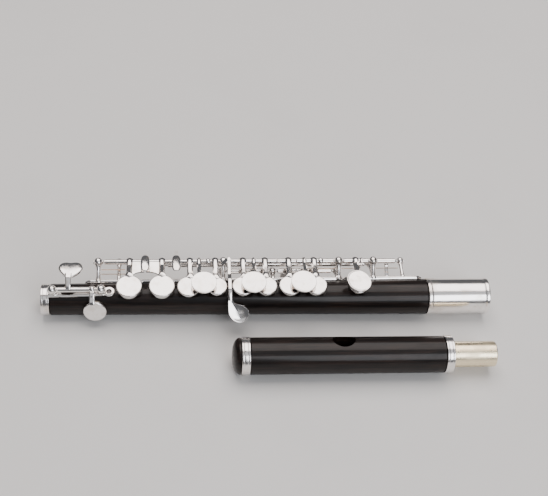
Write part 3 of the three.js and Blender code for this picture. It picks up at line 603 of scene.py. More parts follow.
def bump(tree, shader, height, distance, strength=1.0):
    made = node(tree, "ShaderNodeBump", (-300, -260), Strength=strength, Distance=distance)
    tree.links.new(height, made.inputs["Height"])
    tree.links.new(made.outputs["Normal"], shader.inputs["Normal"])


def grenadilla():
    look = finishes()
    made, tree, shader, vector = bare_material(
        "grenadilla", 0.0, Coat_Weight=0.27, Coat_Roughness=0.12, Specular_IOR_Level=0.14)
    grain = placed_group(tree, streaks_group(), (-760, 160), vector, Stretch=(45.0, 950.0, 950.0), Detail=6.0)
    handling(tree, shader, vector, -160, Scale=90.0, Polish=look.wood_polish, Spread=0.14)
    two_tones(tree, shader, grain.outputs["Height"], look.wood, look.wood_grain)
    bump(tree, shader, grain.outputs["Lines"], 0.00003, 0.35)
    return made


def silver_plate():
    look = finishes()
    made, tree, shader, vector = bare_material("silver_plate", 1.0)
    marks = handling(tree, shader, vector, 60, Scale=260.0, Polish=look.silver_polish, Spread=0.10)
    two_tones(tree, shader, marks.outputs["Mask"], look.silver, look.tarnish)
    return made


def barrel_plate():
    """Plate with faint lengthwise wear, as on the barrel and rings."""
    look = finishes()
    made, tree, shader, vector = bare_material("barrel_plate", 1.0)
    wear = placed_group(tree, streaks_group(), (-760, 160), vector, Stretch=(70.0, 1300.0, 1300.0))
    marks = handling(tree, shader, vector, -160, Scale=140.0, Polish=look.silver_polish + 0.06, Spread=0.12)
    two_tones(tree, shader, marks.outputs["Mask"], look.silver, look.tarnish)
    bump(tree, shader, wear.outputs["Height"], 0.00001, 0.35)
    return made


def nickel_silver():
    look = finishes()
    made, tree, shader, vector = bare_material("nickel_silver", 1.0)
    wear = placed_group(tree, streaks_group(), (-760, 160), vector, Stretch=(35.0, 1500.0, 1500.0),
                        Detail=7.0)
    handling(tree, shader, vector, -160, Scale=120.0, Polish=0.26, Spread=0.16)
    pale = tuple(min(1.0, 1.12 * part + 0.03) for part in look.nickel)
    two_tones(tree, shader, wear.outputs["Lines"], look.nickel, pale)
    bump(tree, shader, wear.outputs["Lines"], 0.00002, 0.6)
    return made


def plain_metal(name, tone, roughness):
    made, tree, shader, vector = bare_material(name, 1.0)
    marks = handling(tree, shader, vector, 0, Scale=500.0, Polish=roughness, Spread=0.15)
    two_tones(tree, shader, marks.outputs["Mask"], tone, tuple(0.7 * part for part in tone))
    return made


def soft_stuff(name, tone, scale, distance):
    """A matt, slightly uneven surface, for pad skin and cork."""
    made, tree, shader, vector = bare_material(name, 0.0, Specular_IOR_Level=0.3)
    marks = handling(tree, shader, vector, 0, Scale=scale, Polish=0.62, Spread=0.25)
    two_tones(tree, shader, marks.outputs["Mask"], tone, tuple(0.62 * part for part in tone))
    bump(tree, shader, marks.outputs["Mask"], distance, 0.5)
    return made


MATERIAL_MAKERS = {
    "grenadilla": grenadilla,
    "silver_plate": silver_plate,
    "barrel_plate": barrel_plate,
    "nickel_silver": nickel_silver,
    "hinge_steel": lambda: plain_metal("hinge_steel", finishes().steel, 0.22),
    # Painted shade: steel darkened for the strap screw, standing for the shade in its recess.
    "screw_shade_steel": lambda: plain_metal("screw_shade_steel", finishes().screw_shade_steel, 0.3),
    "spring_bronze": lambda: plain_metal("spring_bronze", finishes().bronze, 0.22),
    "pad_skin": lambda: soft_stuff("pad_skin", finishes().pad, 900.0, 0.00002),
    "cork": lambda: soft_stuff("cork", finishes().cork, 1400.0, 0.0001),
}


def finish_material(name):
    return bpy.data.materials.get(name + "_finish") or MATERIAL_MAKERS[name]()


def dress(nodes, finish):
    """Gives CAD nodes that keep their own shape a better material."""
    for name in nodes:
        frame["nodes"][name].data.materials.clear()
        frame["nodes"][name].data.materials.append(finish_material(finish))


# ---- The wood, rings and barrel ----------------------------------------------------------------

def hole_cutter(x, angle, hole, seat, low, ledge, top):
    """A tone hole and the flat seat round it: two turned steps about a line out from the axis."""
    profile = [(low, 0), (low, hole), (ledge, hole), (ledge, seat - 0.12), (ledge + 0.12, seat),
               (top, seat + 0.25), (top, 0)]
    return spin(profile, x * ALONG, outward(angle), ALONG, 40)


def body_wood_mesh():
    start = 0.8
    end = BODY["length"] - 0.8 - GAP
    shoulder = BODY["length"] - BODY["barrel"] - GAP
    socket_start = BODY["length"] - BODY["socket"]
    under_barrel = BARREL["radius"] - BARREL["wall"] - GAP
    ring_end = BODY["foot_ring"] + GAP
    surface = [(x, wood_radius(x)) for x in np.linspace(ring_end + 0.25, shoulder - 0.2, 60)]
    profile = [
        (start, WOOD["bore_foot"]), (start, WOOD["ring_tenon"]), (ring_end, WOOD["ring_tenon"]),
        (ring_end, WOOD["foot"] - 0.25), *surface, (shoulder, WOOD["head"] - 0.2),
        (shoulder, under_barrel), (end, under_barrel), (end, LINER["outer"] + GAP),
        (socket_start, LINER["outer"] + GAP), (socket_start, WOOD["bore_head"]), (start, WOOD["bore_foot"]),
    ]
    wood = mesh_of("wood_blank", [spin(profile, sides=144)])
    cutters = []
    for x, angle, hole, radius, _ in CUPS.values():
        ledge = seat_height(x)
        cutters.append(hole_cutter(x, angle, hole, radius + 0.05, 2.0, ledge, WOOD["head"] + 2))
    tools = mesh_of("hole_tools", cutters)
    carved = carve("body_wood_finish", wood, tools)
    put(carved, on_body)
    return carved


def put(mesh, place):
    """Moves every vertex of a mesh from millimetres to its place in the frame."""
    flat = np.empty(len(mesh.vertices) * 3)
    mesh.vertices.foreach_get("co", flat)
    mesh.vertices.foreach_set("co", place(flat.reshape(-1, 3)).ravel())
    mesh.update()


def foot_ring_grids():
    radius, groove = FOOT_RING_RADIUS, in_mm(sizes().groove)
    inner = WOOD["ring_tenon"] + GAP
    outside = rounded([(0, 4.8), (0, radius), (0.95, radius), (1.05, radius - groove), (1.15, radius),
                       (2.9, radius), (3.0, radius - groove), (3.1, radius), (3.9, radius),
                       (3.9, inner)], 0.3)
    inside = [(3.9, inner), (0.5, inner), (0.5, 4.8), (0, 4.8)]
    return [spin([*outside, *inside], sides=128)]


def barrel_grids():
    """The barrel: a straight tube between two beads, each set off by a turned groove."""
    start, end = BODY["length"] - BODY["barrel"], BODY["length"]
    radius, bead, wide = BARREL["radius"], BARREL["bead"], BARREL["bead_length"]
    groove, inner = in_mm(sizes().groove), BARREL["radius"] - BARREL["wall"]
    outside = rounded([
        (start, inner), (start, bead - 0.05), (start + 0.9, bead), (start + wide - 0.5, bead - 0.05),
        (start + wide - 0.2, radius - groove), (start + wide, radius), (end - wide, radius),
        (end - wide + 0.2, radius - groove), (end - wide + 0.5, bead - 0.05), (end - 0.9, bead),
        (end, bead - 0.05), (end, LINER["outer"]),
    ], 0.28)
    inside = [(end, LINER["outer"]), (end - 0.8, LINER["outer"]), (end - 0.8, inner), (start, inner)]
    return [spin([*outside, *inside], sides=144)]


def liner_grids():
    start, end = BODY["length"] - BODY["socket"] + GAP, BODY["length"] - 0.8 - GAP
    profile = [(start, LINER["inner"]), (start, LINER["outer"]), (end, LINER["outer"]),
               (end, LINER["inner"] + 0.1), (end - 0.15, LINER["inner"]), (start, LINER["inner"])]
    return [spin(profile, sides=96)]


# ---- Ribs, posts and the foot strap ------------------------------------------------------------

def post_grids(x, angle, lift, joint):
    """A post: flared foot, waisted neck, a fine bead and a ball with slotted screw ends."""
    y, z = hinge_line(joint)
    foot = x * ALONG + place_on(angle, 0, wood_radius(x) + lift)
    top = np.array([x, y, z])
    height = np.linalg.norm(top - foot)
    axis = (top - foot) / height
    main = joint in ("d_pivot", "e_flat_pivot")
    ball = in_mm(sizes().ball_radius) * (1.0 if main else 0.84)
    flare = 1.85 if main else 1.3
    neck = 1.12 if main else 0.95
    stem = flow([(-0.9, flare), (0.0, flare), (0.35, flare * 0.88), (1.0, neck * 1.1),
                 (height * 0.5, neck * 0.94), (height - ball - 0.35, neck * 1.02)], 6)
    bead = [(height - ball - 0.2, neck * 1.28), (height - ball + 0.05, neck * 1.28)]
    turns = np.linspace(math.asin(neck * 1.2 / ball), np.pi, 20)
    globe = np.stack([height - ball * np.cos(turns), ball * np.sin(turns)], 1)
    stem = np.vstack([[(-0.9, 0)], stem, bead, globe])
    grids = [spin(stem, foot, axis, ALONG, 40)]
    side = np.cross(ALONG, axis)
    for sign in (-1, 1):
        grids += slotted_end(top + sign * ball * 0.86 * ALONG, sign * ALONG, side, ball * 0.5)
    return grids


def rib_strip(start, end):
    """A strip with pointed, bevelled ends that follows the wood: half width grows from the tip."""
    x = np.concatenate([start + np.linspace(0, RIB_SIZE["tip"], 8),
                        np.linspace(start + 3, end - 3, 60),
                        end - np.linspace(RIB_SIZE["tip"], 0, 8)])
    from_tip = np.minimum(x - start, end - x) / RIB_SIZE["tip"]
    half = RIB_SIZE["width"] / 2 * np.clip(from_tip, 0.08, 1) ** 0.7
    low = wood_radius(x) - 0.15
    high = wood_radius(x) + GAP + RIB_SIZE["thickness"] * np.clip(0.35 + from_tip, 0, 1)
    path = x[:, None] * ALONG + ((low + high) / 2)[:, None] * outward(RIB)
    across = half[:, None] * around(RIB)
    over = ((high - low) / 2)[:, None] * outward(RIB)
    return sweep(path, across, over, pillow(28, 5))


def rib_grids(name):
    grids = [rib_strip(*RIBS[name])]
    for x, joint in POSTS[name]:
        lift = GAP + RIB_SIZE["thickness"] * 0.8
        grids += post_grids(x, RIB, lift, joint)
    return grids


def strap_level():
    return GAP + 0.8


def bent_to_wood(grid, angle):
    """Bends a flat grid (x, s, h over the wood) round the axis: angle plus s over the radius."""
    x, s, h = grid[..., 0], grid[..., 1], grid[..., 2]
    radius = wood_radius(x) + h
    turn = math.radians(angle) + s / radius
    return np.stack([x, radius * np.sin(turn), radius * np.cos(turn)], -1)


def strap_bar(points, thickness):
    """A bar in the strap from rows of (x, s, half width), rounded across and level with the strap."""
    rows = flow(points, 10)
    path = np.column_stack([rows[:, 0], rows[:, 1], np.full(len(rows), strap_level() - thickness / 2)])
    ahead = directions(rows[:, :2])
    across = np.column_stack([-ahead[:, 1], ahead[:, 0], np.zeros(len(rows))]) * rows[:, 2:3]
    over = np.array([0, 0, thickness / 2])
    return bent_to_wood(sweep(path, across, over, pillow(24, 6)), STRAP)


def strap_grids():
    """The foot strap: two rails round the oval cutaway, a solid middle and an eye for its screw."""
    start = BODY["foot_ring"] - 0.1
    rails = [
        strap_bar([(start, sign * 1.25, 1.25), (8.4, sign * 1.3, 1.2), (10, sign * 1.85, 0.65),
                   (12.4, sign * 2.0, 0.5), (15, sign * 1.85, 0.65), (16.6, sign * 1.3, 1.2)], 0.9)
        for sign in (-1, 1)
    ]
    middle = strap_bar([(start, 0, 2.5), (8.2, 0, 2.5)], 0.88)
    solid = strap_bar([(16, 0, 2.45), (22, 0, 2.4), (27.6, 0, 2.2), (29.6, 0, 1.6)], 0.9)
    turns = np.linspace(0, 2 * np.pi, 48, endpoint=False)
    level = strap_level()
    low = level - 0.9
    ring = rounded([(low, 1.25), (level, 1.25), (level, 2.45), (low, 2.45), (low, 1.25)], 0.16)
    eye = np.stack([STRAP_EYE + ring[:, 1:] * np.cos(turns), ring[:, 1:] * np.sin(turns),
                    np.broadcast_to(ring[:, :1], (len(ring), len(turns)))], -1)
    grids = [*rails, middle, solid, bent_to_wood(eye, STRAP)]
    for x, joint in POSTS["foot_strap"]:
        grids += post_grids(x, STRAP, GAP + 0.7, joint)
    return grids


def strap_screw_grids():
    foot = STRAP_EYE * ALONG + outward(STRAP) * (wood_radius(STRAP_EYE) + 0.05)
    return slotted_end(foot, outward(STRAP), ALONG, 0.9)


# ---- Keys --------------------------------------------------------------------------------------

def cup_grid(name):
    """A cup: top that falls as dome times the share of the radius squared, then a quarter-round edge,
    a straight wall and a hollow underside."""
    x, angle, _, radius, height = CUPS[name]
    rest = seat_height(x) + PAD_GAP
    top = rest + height
    roll, dome = in_mm(sizes().cup_edge), in_mm(sizes().cup_dome)
    inner = radius - CUP_WALL
    shares = np.linspace(0, 1, 10)[1:]
    middle = [(top - dome * share**2, share * (radius - roll)) for share in shares]
    turns = np.linspace(0, np.pi / 2, 9)[1:]
    low = top - dome
    edge = [(low - roll * (1 - math.cos(turn)), radius - roll * (1 - math.sin(turn))) for turn in turns]
    under = [(rest + PAD_STAND + 0.5, radius - 0.18), (rest + PAD_STAND + 0.15, radius - 0.27),
             (rest + PAD_STAND, radius - 0.4), (rest + PAD_STAND, inner),
             (top - CUP_ROOF - roll, inner), (top - CUP_ROOF - roll, 0)]
    profile = [(top, 0), *middle, *edge, *under]
    return spin(profile, x * ALONG, outward(angle), ALONG, 96)


def pad_grid(name):
    """A pad: its skin bulges a little below the cup and keeps the ring the hole has pressed into it."""
    x, angle, hole, radius, height = CUPS[name]
    rest = seat_height(x) + PAD_GAP
    rim = radius - CUP_WALL - GAP
    top = rest + height - CUP_ROOF - in_mm(sizes().cup_edge) - 0.1
    profile = [(rest + 0.12, 0), (rest + 0.12, hole - 0.5), (rest + 0.1, hole - 0.2), (rest + 0.2, hole),
               (rest + 0.03, hole + 0.35), (rest, hole + 0.8), (rest, rim - 0.6), (rest + 0.12, rim - 0.18),
               (rest + 0.42, rim), (rest + PAD_STAND, rim + 0.02), (top, rim - 0.05), (top, 0)]
    smooth = flow(profile[1:10], 4)
    return spin([profile[0], *smooth, *profile[10:]], x * ALONG, outward(angle), ALONG, 72)


def tone_line(joint):
    """The main hinge line, measured on the tone holes' own line: (s, h)."""
    y, z = hinge_line(joint)
    place = np.array([0.0, y, z])
    return place @ around(TONE), place @ outward(TONE)


def arm_grid(x, rows):
    """An arm in the plane across the joint, from rows of (s, h, half width, half thickness, flat top)."""
    rows = flow(rows, 7)
    path = x * ALONG + rows[:, :1] * around(TONE) + rows[:, 1:2] * outward(TONE)
    ahead = directions(path)
    over = np.cross(ALONG, ahead) * rows[:, 3:4]
    across = ALONG * rows[:, 2:3]
    return sweep(path, across, over, ridge(rows[:, 4]))


def cup_arm(x, name):
    """From a spearhead on the cup's shoulder, level to the rod, over it and down behind."""
    radius = CUPS[name][3]
    top = cup_top(name)
    s, h = tone_line("d_pivot")
    half = in_mm(sizes().arm_width) / 2
    peak = h + 2.3
    return arm_grid(x, [
        (radius - 1.5, top - 0.35, 0.5, 0.35, 0.02),
        (radius - 0.5, top - 0.12, half * 1.15, 0.42, 0.05),
        (radius + 0.6, top - 0.05, half * 1.02, 0.6, 0.3),
        (radius + 2.2, (2 * top + peak) / 3 - 0.35, half * 0.88, 0.72, 0.5),
        (s - 3.0, peak - 0.85, half * 0.9, 0.75, 0.5),
        (s - 0.9, peak - 0.62, half, 0.72, 0.35),
        (s + 0.7, peak - 0.95, half, 0.6, 0.3),
        (s + 1.6, h + 0.5, half * 0.95, 0.45, 0.5),
        (s + 1.45, h - 0.6, half * 0.85, 0.3, 0.6),
    ])


def touch_arm(x, arm_x, stand):
    """The thinner arm of a raised touch, and the pedestal under its disc."""
    seat = wood_radius(x) + stand - in_mm(sizes().touch_thickness) - GAP
    s, h = tone_line("d_pivot")
    peak = h + 2.3
    arm = arm_grid(arm_x, [
        (-1.2, seat - 0.75, 0.7, 0.3, 0.6), (1.0, seat - 0.7, 0.95, 0.4, 0.6),
        (5.0, seat - 0.75, 0.95, 0.45, 0.5), (s - 2.6, peak - 0.5, 0.95, 0.55, 0.4),
        (s - 0.4, peak - 0.55, 1.0, 0.6, 0.3), (s + 1.3, h + 0.9, 1.0, 0.5, 0.4),
        (s + 1.5, h - 0.4, 0.85, 0.3, 0.6),
    ])
    profile = rounded([(seat - 1.2, 0), (seat - 1.2, 1.5), (seat - 0.5, 2.0), (seat + GAP, 1.7),
                       (seat + GAP, 0)], 0.3)
    pedestal = spin(profile, x * ALONG, outward(TONE), ALONG, 40)
    bridge_x = np.linspace(min(x, arm_x) - 0.6, max(x, arm_x) + 0.6, 5)
    path = bridge_x[:, None] * ALONG + place_on(TONE, 0, seat - 0.75)
    bridge = sweep(path, 1.3 * around(TONE), 0.42 * outward(TONE), pillow(20, 5))
    return [arm, pedestal, bridge]


def touch_grid(x, radius, stand, lean):
    """A finger touch: a disc with a round edge, faintly dished for the finger."""
    thick = in_mm(sizes().touch_thickness)
    top = wood_radius(x) + stand
    shares = np.linspace(0, 1, 8)[1:]
    dish = [(top - 0.06 - 0.05 * (1 - share**2), share * (radius - 0.8)) for share in shares]
    edge = rounded([(top - 0.06, radius - 0.7), (top, radius - 0.45), (top - 0.02, radius - 0.05),
                    (top - thick * 0.5, radius), (top - thick + 0.05, radius - 0.1),
                    (top - thick, radius - 0.5), (top - thick, 0)], 0.18)
    turn = math.radians(lean)
    axis = math.cos(turn) * outward(TONE) + math.sin(turn) * ALONG
    side = math.cos(turn) * ALONG - math.sin(turn) * outward(TONE)
    pivot = (top - thick) * outward(TONE) + x * ALONG
    profile = np.vstack([[(top - 0.11, 0)], dish, edge]) - (top - thick, 0)
    return spin(profile, pivot, axis, side, 96)


def web_grid(start, end, radius):
    """A quarter arch between an arm and the rod: a strip from the arch's curve up to the rod."""
    s, h = tone_line("d_pivot")
    low, middle = radius + 0.4, s - 6.6
    t = np.linspace(0, 1, 20)[:, None]
    corner = np.array([[start, low], [start + (end - start) * 0.15, middle], [end, middle]])
    arch = (1 - t) ** 2 * corner[0] + 2 * t * (1 - t) * corner[1] + t**2 * corner[2]
    high = s - 0.6
    centre = (arch[:, 1:] + high) / 2
    path = arch[:, :1] * ALONG + centre * around(TONE) + (h + 0.9) * outward(TONE)
    return sweep(path, (high - arch[:, 1:]) / 2 * around(TONE), 0.4 * outward(TONE), pillow(24, 8))


def ball_grid(x, y, z, radius):
    turns = np.linspace(0, np.pi, 24)
    profile = np.stack([-radius * np.cos(turns), radius * np.sin(turns)], 1)
    return spin(profile, (x, y, z), sides=40)


def main_key_grids(key):
    """A main key: tube, an arm and cup for each of its pads, and its touch's arm, web, collar or lug."""
    facts = MAIN_KEYS[key]
    y, z = hinge_line("d_pivot")
    grids = [hinge_tube("d_pivot", *facts["tube"])]
    for name, arm_x in facts["cups"].items():
        grids += [cup_grid(name), cup_arm(arm_x, name)]
    if "touch" in facts:
        x, arm_x, _, stand, _ = TOUCHES[facts["touch"]]
        grids += touch_arm(x, arm_x, stand)
    if "web" in facts:
        grids.append(web_grid(*facts["web"], CUPS[key][3]))
    if "collar" in facts:
        x, radius = facts["collar"]
        grids.append(ball_grid(x, y, z, radius))
    if "lug" in facts:
        s, h = tone_line("d_pivot")
        grids.append(arm_grid(facts["lug"], [
            (s - 3.4, h + 0.9, 0.6, 0.4, 0.4), (s - 1.2, h + 1.6, 0.75, 0.45, 0.4),
            (s + 0.6, h + 1.3, 0.75, 0.4, 0.4), (s + 1.3, h, 0.6, 0.3, 0.5)]))
    return grids


def back_arm(name, joint, half=1.1):
    """An arm from a low hinge line round the back to the top of a cup there."""
    x, angle, _, radius, _ = CUPS[name]
    y, z = hinge_line(joint)
    top = cup_top(name)
    edge = place_on(angle, -radius + 0.2, top + 0.2)[1:]
    land = place_on(angle, -0.5, top + 0.35)[1:]
    elbow = (max(y + 0.4, edge[0] + 0.4), (z + edge[1]) / 2)
    return side_bar(x, [(y, z), elbow, tuple(edge), tuple(land)], half, 0.6)


def side_bar(x, places, half, thick, taper=0.75):
    """A bar in the plane across the joint from rows of (y, z), rounded across and slimmer at its end."""
    rows = flow(places, 7)
    path = np.column_stack([np.full(len(rows), x), rows])
    ahead = directions(path)
    width = half * np.linspace(1, taper, len(rows))[:, None]
    return sweep(path, ALONG * width, np.cross(ALONG, ahead) * thick, pillow(24, 4))


def smooth_outline(points, steps=10):
    """A closed Catmull-Rom outline through the points."""
    p = np.asarray(points, float)
    loop = flow(np.vstack([p[-2:], p, p[:2]]), steps)
    return loop[2 * steps:(2 + len(p)) * steps]


def heart_grids():
    """The little finger's touch: a heart-shaped cap on a flank that narrows to its neck."""
    y, z = hinge_line("e_flat_pivot")
    x0, y0, level = 13.0, y + 4.0, z + 3.5
    points = [(0, 0.0), (2.0, 0.7), (4.4, 2.3), (6.0, 4.6), (6.3, 6.6), (5.4, 8.8), (3.4, 9.7), (0.7, 9.4),
              (-1.8, 9.7), (-4.0, 8.8), (-4.9, 6.6), (-4.5, 4.5), (-3.0, 2.2), (-1.4, 0.7)]
    outline = smooth_outline(np.array(points) + (x0, y0))
    rows = [(0, 0, 1.0), (0.4, 0, 0.99), (0.7, 0, 0.95), (0.84, 0, 0.9), (0.91, 0, 0.8), (0.96, 0, 0.62),
            (1, 0, 0.25), (0.99, 0, -0.1), (0.9, 0, -0.7), (0.62, 0, -1.6), (0.36, 0, -2.4), (0, 0, -2.5)]
    centre = np.array([x0 + 0.4, y0 + 3.4])
    cap = plate(outline, centre, rows, (ALONG, SIDEWAYS, UPWARDS), (0, 0, level))
    neck = side_bar(x0, [(y - 0.4, z + 0.7), (y + 1.1, z + 2.1), (y + 2.7, z + 3.2), (y + 4.2, z + 4.1),
                         (y + 6.0, z + 4.3)], 1.15, 0.75, 1.35)
    return [cap, neck]


def e_flat_grids():
    x, angle, _, radius, _ = CUPS["e_flat"]
    y, z = hinge_line("e_flat_pivot")
    top = cup_top("e_flat")
    over = [tuple(place_on(turn, 0, wood_radius(x) + clear)[1:])
            for clear, turn in ((3.3, -17), (3.5, -27), (3.2, -40))]
    land = tuple(place_on(angle, radius - 0.5, top - 0.35)[1:])
    end = tuple(place_on(angle, radius - 1.8, top - 0.1)[1:])
    arm = side_bar(x - 1.2, [*over, land, end], 1.1, 0.62, 1.25)
    collar = ball_grid(x - 1.2, y, z, 1.75)
    return [hinge_tube("e_flat_pivot", 8.1, 25.4), arm, collar, cup_grid("e_flat"), *heart_grids()]


SPOON = {"x": 86.4, "angle": -46.0, "stand": 3.05}


def spoon_grids():
    """The G sharp spoon: a teardrop bowl, dished inside its rim."""
    x0 = SPOON["x"]
    level = wood_radius(x0) + SPOON["stand"]
    points = [(0.05, 0.6), (1.0, 0.9), (1.95, 0.3), (2.8, -1.3), (4.8, -2.1), (7.5, -3.0), (9.3, -4.7),
              (9.6, -6.8), (8.6, -9.1), (6.6, -10.5), (4.4, -10.5), (2.2, -9.4), (0.6, -7.2), (0.05, -4.2),
              (0, -1.6)]
    outline = smooth_outline(np.array(points) + (x0, 0))
    rows = [(0, 0, 0.72), (0.25, 0, 0.725), (0.5, 0, 0.76), (0.7, 0, 0.83), (0.84, 0, 0.92), (0.92, 0, 0.98),
            (0.97, 0, 0.98), (1, 0.02, 0.88), (1, 0, 0.7), (1, 0.05, 0.45), (0.93, 0, 0.2),
            (0.6, 0, 0.02), (0, 0, 0)]
    centre = np.array([x0 + 4.6, -6.3])
    basis = (ALONG, around(SPOON["angle"]), outward(SPOON["angle"]))
    return [plate(outline, centre, rows, basis, level * outward(SPOON["angle"]))]


def g_sharp_grids():
    x0 = SPOON["x"]
    y, z = hinge_line("g_sharp_pivot")
    spans = ((5.15, 21), (4.65, 0), (4.2, -22), (3.75, -38), (3.6, -48))
    rod_y, rod_z = hinge_line("d_pivot")
    hump = [(y, z), (rod_y - 2.6, z + 2.8), (rod_y - 2.5, rod_z + 0.6), (rod_y - 0.6, rod_z + 2.9),
            (rod_y - 3.6, rod_z + 2.2)]
    places = [*hump, *(tuple(place_on(turn, 0, wood_radius(x0) + clear)[1:]) for clear, turn in spans)]
    lever = side_bar(x0 + 0.95, places, 0.9, 0.55, 1.0)
    return [hinge_tube("g_sharp_pivot", 87.3, 106.0), lever, leaf_grid(x0, rod_y, rod_z), *spoon_grids(),
            back_arm("g_sharp", "g_sharp_pivot"), cup_grid("g_sharp")]


def leaf_grid(x, y, z):
    """The leaf beside the lever's hump: a slanted strip that widens and thins away from its tip."""
    rows = flow([(x - 3.2, y - 3.2, z + 1.0, 0.5), (x - 1.8, y - 2.7, z + 1.9, 1.3),
                 (x - 0.2, y - 1.9, z + 2.6, 1.7), (x + 1.5, y - 0.9, z + 2.9, 1.1)], 7)
    path = rows[:, :3]
    ahead = directions(path)
    over = np.cross(ahead, np.cross(outward(14), ahead))
    return sweep(path, np.cross(over, ahead) * rows[:, 3:], over * 0.35, pillow(24, 3))


def thumb_plate(x, half):
    """A thumb plate round the back: a broad bent bar on a stem from the low line."""
    y, z = hinge_line("thumb_b_pivot")
    plate_bar = side_bar(x, [(y + 0.9, z - 3.0), (y + 1.4, z - 6.0), (y + 1.3, z - 9.0), (y + 0.5, z - 12.0)],
                         half, 0.5, 1.0)
    stem = side_bar(x, [(y, z), (y + 0.6, z - 2.0), (y + 1.0, z - 4.2)], 1.1, 0.6, 1.0)
    return [plate_bar, stem]


def thumb_b_grids():
    return [hinge_tube("thumb_b_pivot", 120.2, 137.0), back_arm("thumb_b", "thumb_b_pivot"),
            cup_grid("thumb_b"), *thumb_plate(122.9, 2.5)]


def thumb_b_flat_grids():
    return [hinge_tube("thumb_b_pivot", 111.1, 119.8), *thumb_plate(116.2, 3.3)]


def trill_grids(name, tube, touch_x, bulge):
    """A trill key: pebble-shaped touch, lever down behind, long tube and a cup round the back."""
    joint = name + "_pivot"
    y, z = hinge_line(joint)
    main_y, main_z = hinge_line("d_pivot")
    touch_y, level = main_y - 4.5, main_z + 3.5
    outline = (touch_x, touch_y) + pillow(64, 2.9) * (2.15, 5.1)
    rows = [(0, 0, 1.1), (0.3, 0, 1.08), (0.6, 0, 1.0), (0.8, 0, 0.88), (0.93, 0, 0.7), (1, 0, 0.42),
            (0.96, 0, 0.15), (0.8, 0, 0.0), (0, 0, 0)]
    pebble = plate(outline, np.array([touch_x, touch_y]), rows, (ALONG, SIDEWAYS, UPWARDS), (0, 0, level))
    behind = y + bulge
    lever = side_bar(touch_x, [(touch_y + 2.4, level + 0.1), (touch_y + 4.6, level + 0.1),
                               (touch_y + 6.3, level - 1.0), (behind, level - 4.0),
                               (behind + 0.2, (z + level - 6.2) / 2), (y + 0.2, z)], 0.9, 0.55, 1.0)
    return [hinge_tube(joint, *tube), pebble, lever, back_arm(name, joint), cup_grid(name)]


# ---- Head joint --------------------------------------------------------------------------------

def head_stations():
    wood = HEAD["crown"] + HEAD["crown_ring"]
    ring = wood + HEAD["wood"]
    tenon = ring + HEAD["ring"]
    return wood, ring, tenon, tenon + HEAD["tenon"]


def head_wood_mesh():
    wood, ring, _, _ = head_stations()
    start, edge = HEAD["crown"] + GAP, HEAD["radius"] - 0.15
    sleeve = ring - HEAD["sleeve"]
    lining = HEAD["tenon_radius"] + GAP
    surface = [(x, HEAD["radius"]) for x in np.linspace(wood + GAP + 0.15, ring - GAP - 0.15, 40)]
    profile = [
        (start, HEAD["bore"]), (start, HEAD["collar"]), (wood + GAP, HEAD["collar"]), (wood + GAP, edge),
        *surface, (ring - GAP, edge), (ring - GAP, lining), (sleeve, lining), (sleeve, HEAD["bore"]),
        (start, HEAD["bore"]),
    ]
    blank = mesh_of("head_blank", [spin(profile, sides=144)])
    turns = np.linspace(0, 2 * np.pi, 72, endpoint=False)
    outline = np.stack([BLOW_HOLE["x"] + BLOW_HOLE["half_length"] * np.cos(turns),
                        BLOW_HOLE["half_width"] * np.sin(turns)], 1)
    surface_level = HEAD["radius"]
    rows = [(0, 0, 2.0), (1.04, 0, 2.0), (1.0, 0, surface_level - 1.2), (1.0, 0, surface_level - 0.9),
            (1.03, 0, surface_level + 0.3), (1.06, 0, surface_level + 3), (0, 0, surface_level + 3)]
    basis = (ALONG, around(BLOW_HOLE["angle"]), outward(BLOW_HOLE["angle"]))
    tool = mesh_of("blow_tool", [plate(outline, np.array([BLOW_HOLE["x"], 0]), rows, basis, (0, 0, 0))])
    carved = carve("head_wood_finish", blank, tool)
    put(carved, on_head)
    return carved


def ring_grid(x0, x1, inner, grooves):
    """A silver ring: rounded edges and fine turned grooves at the places given."""
    radius, groove = HEAD["ring_radius"], in_mm(sizes().groove)
    corners = [(x0, inner), (x0, radius)]
    for place in grooves:
        corners += [(place - 0.14, radius), (place, radius - groove), (place + 0.14, radius)]
    corners += [(x1, radius), (x1, inner)]
    return spin([*rounded(corners, 0.3), (x0, inner)], sides=128)


def crown_grid():
    """The crown: a superellipse, with the share of its depth and the share of its radius each raised
    to the same power and summing to 1."""
    radius, depth = HEAD["radius"] - 0.1, HEAD["crown"] - GAP
    turns = np.linspace(0, np.pi / 2, 28)
    along = depth * (1 - np.cos(turns) ** (2 / CROWN_POWER))
    dome = np.stack([along, radius * np.sin(turns) ** (2 / CROWN_POWER)], 1)
    return spin([*dome, (depth, 0)], sides=112)


def tenon_grid():
    _, ring, _, end = head_stations()
    outer, inner = HEAD["tenon_radius"], HEAD["bore"]
    start = ring - HEAD["sleeve"] + GAP
    end_edge = rounded([(ring, outer), (end, outer), (end, inner + 0.1)], 0.5)
    profile = [(start, inner), (start, outer), *end_edge, (end - 0.2, inner), (start, inner)]
    return spin(profile, sides=144)


def stopper_grids():
    end = STOPPER["end"]
    start = end - STOPPER["length"]
    radius = HEAD["bore"] - GAP
    cork = rounded([(start, 0), (start, radius), (end, radius), (end, 0)], 0.35)
    return [spin(cork, sides=64)]


def stopper_screw_grids():
    """The stopper's screw: a thread as fine rings along its length."""
    start, end = HEAD["crown"] + 0.2, STOPPER["end"] - STOPPER["length"] - GAP
    x = np.linspace(start + 0.2, end - 0.2, 220)
    thread = np.stack([x, 1.42 + 0.08 * np.cos(2 * np.pi * x / THREAD_PITCH)], 1)
    return [spin(np.vstack([[(start, 0), (start, 1.35)], thread, [(end, 1.35), (end, 0)]]), sides=28)]


# ---- Operators ---------------------------------------------------------------------------------

def add(name, grids, finish, body, place):
    """A piece from grids, which stands for the CAD node that it is named after."""
    mesh = mesh_of(name + "_finish", grids, place)
    piece(name + "_finish", mesh, finish, body, [name])


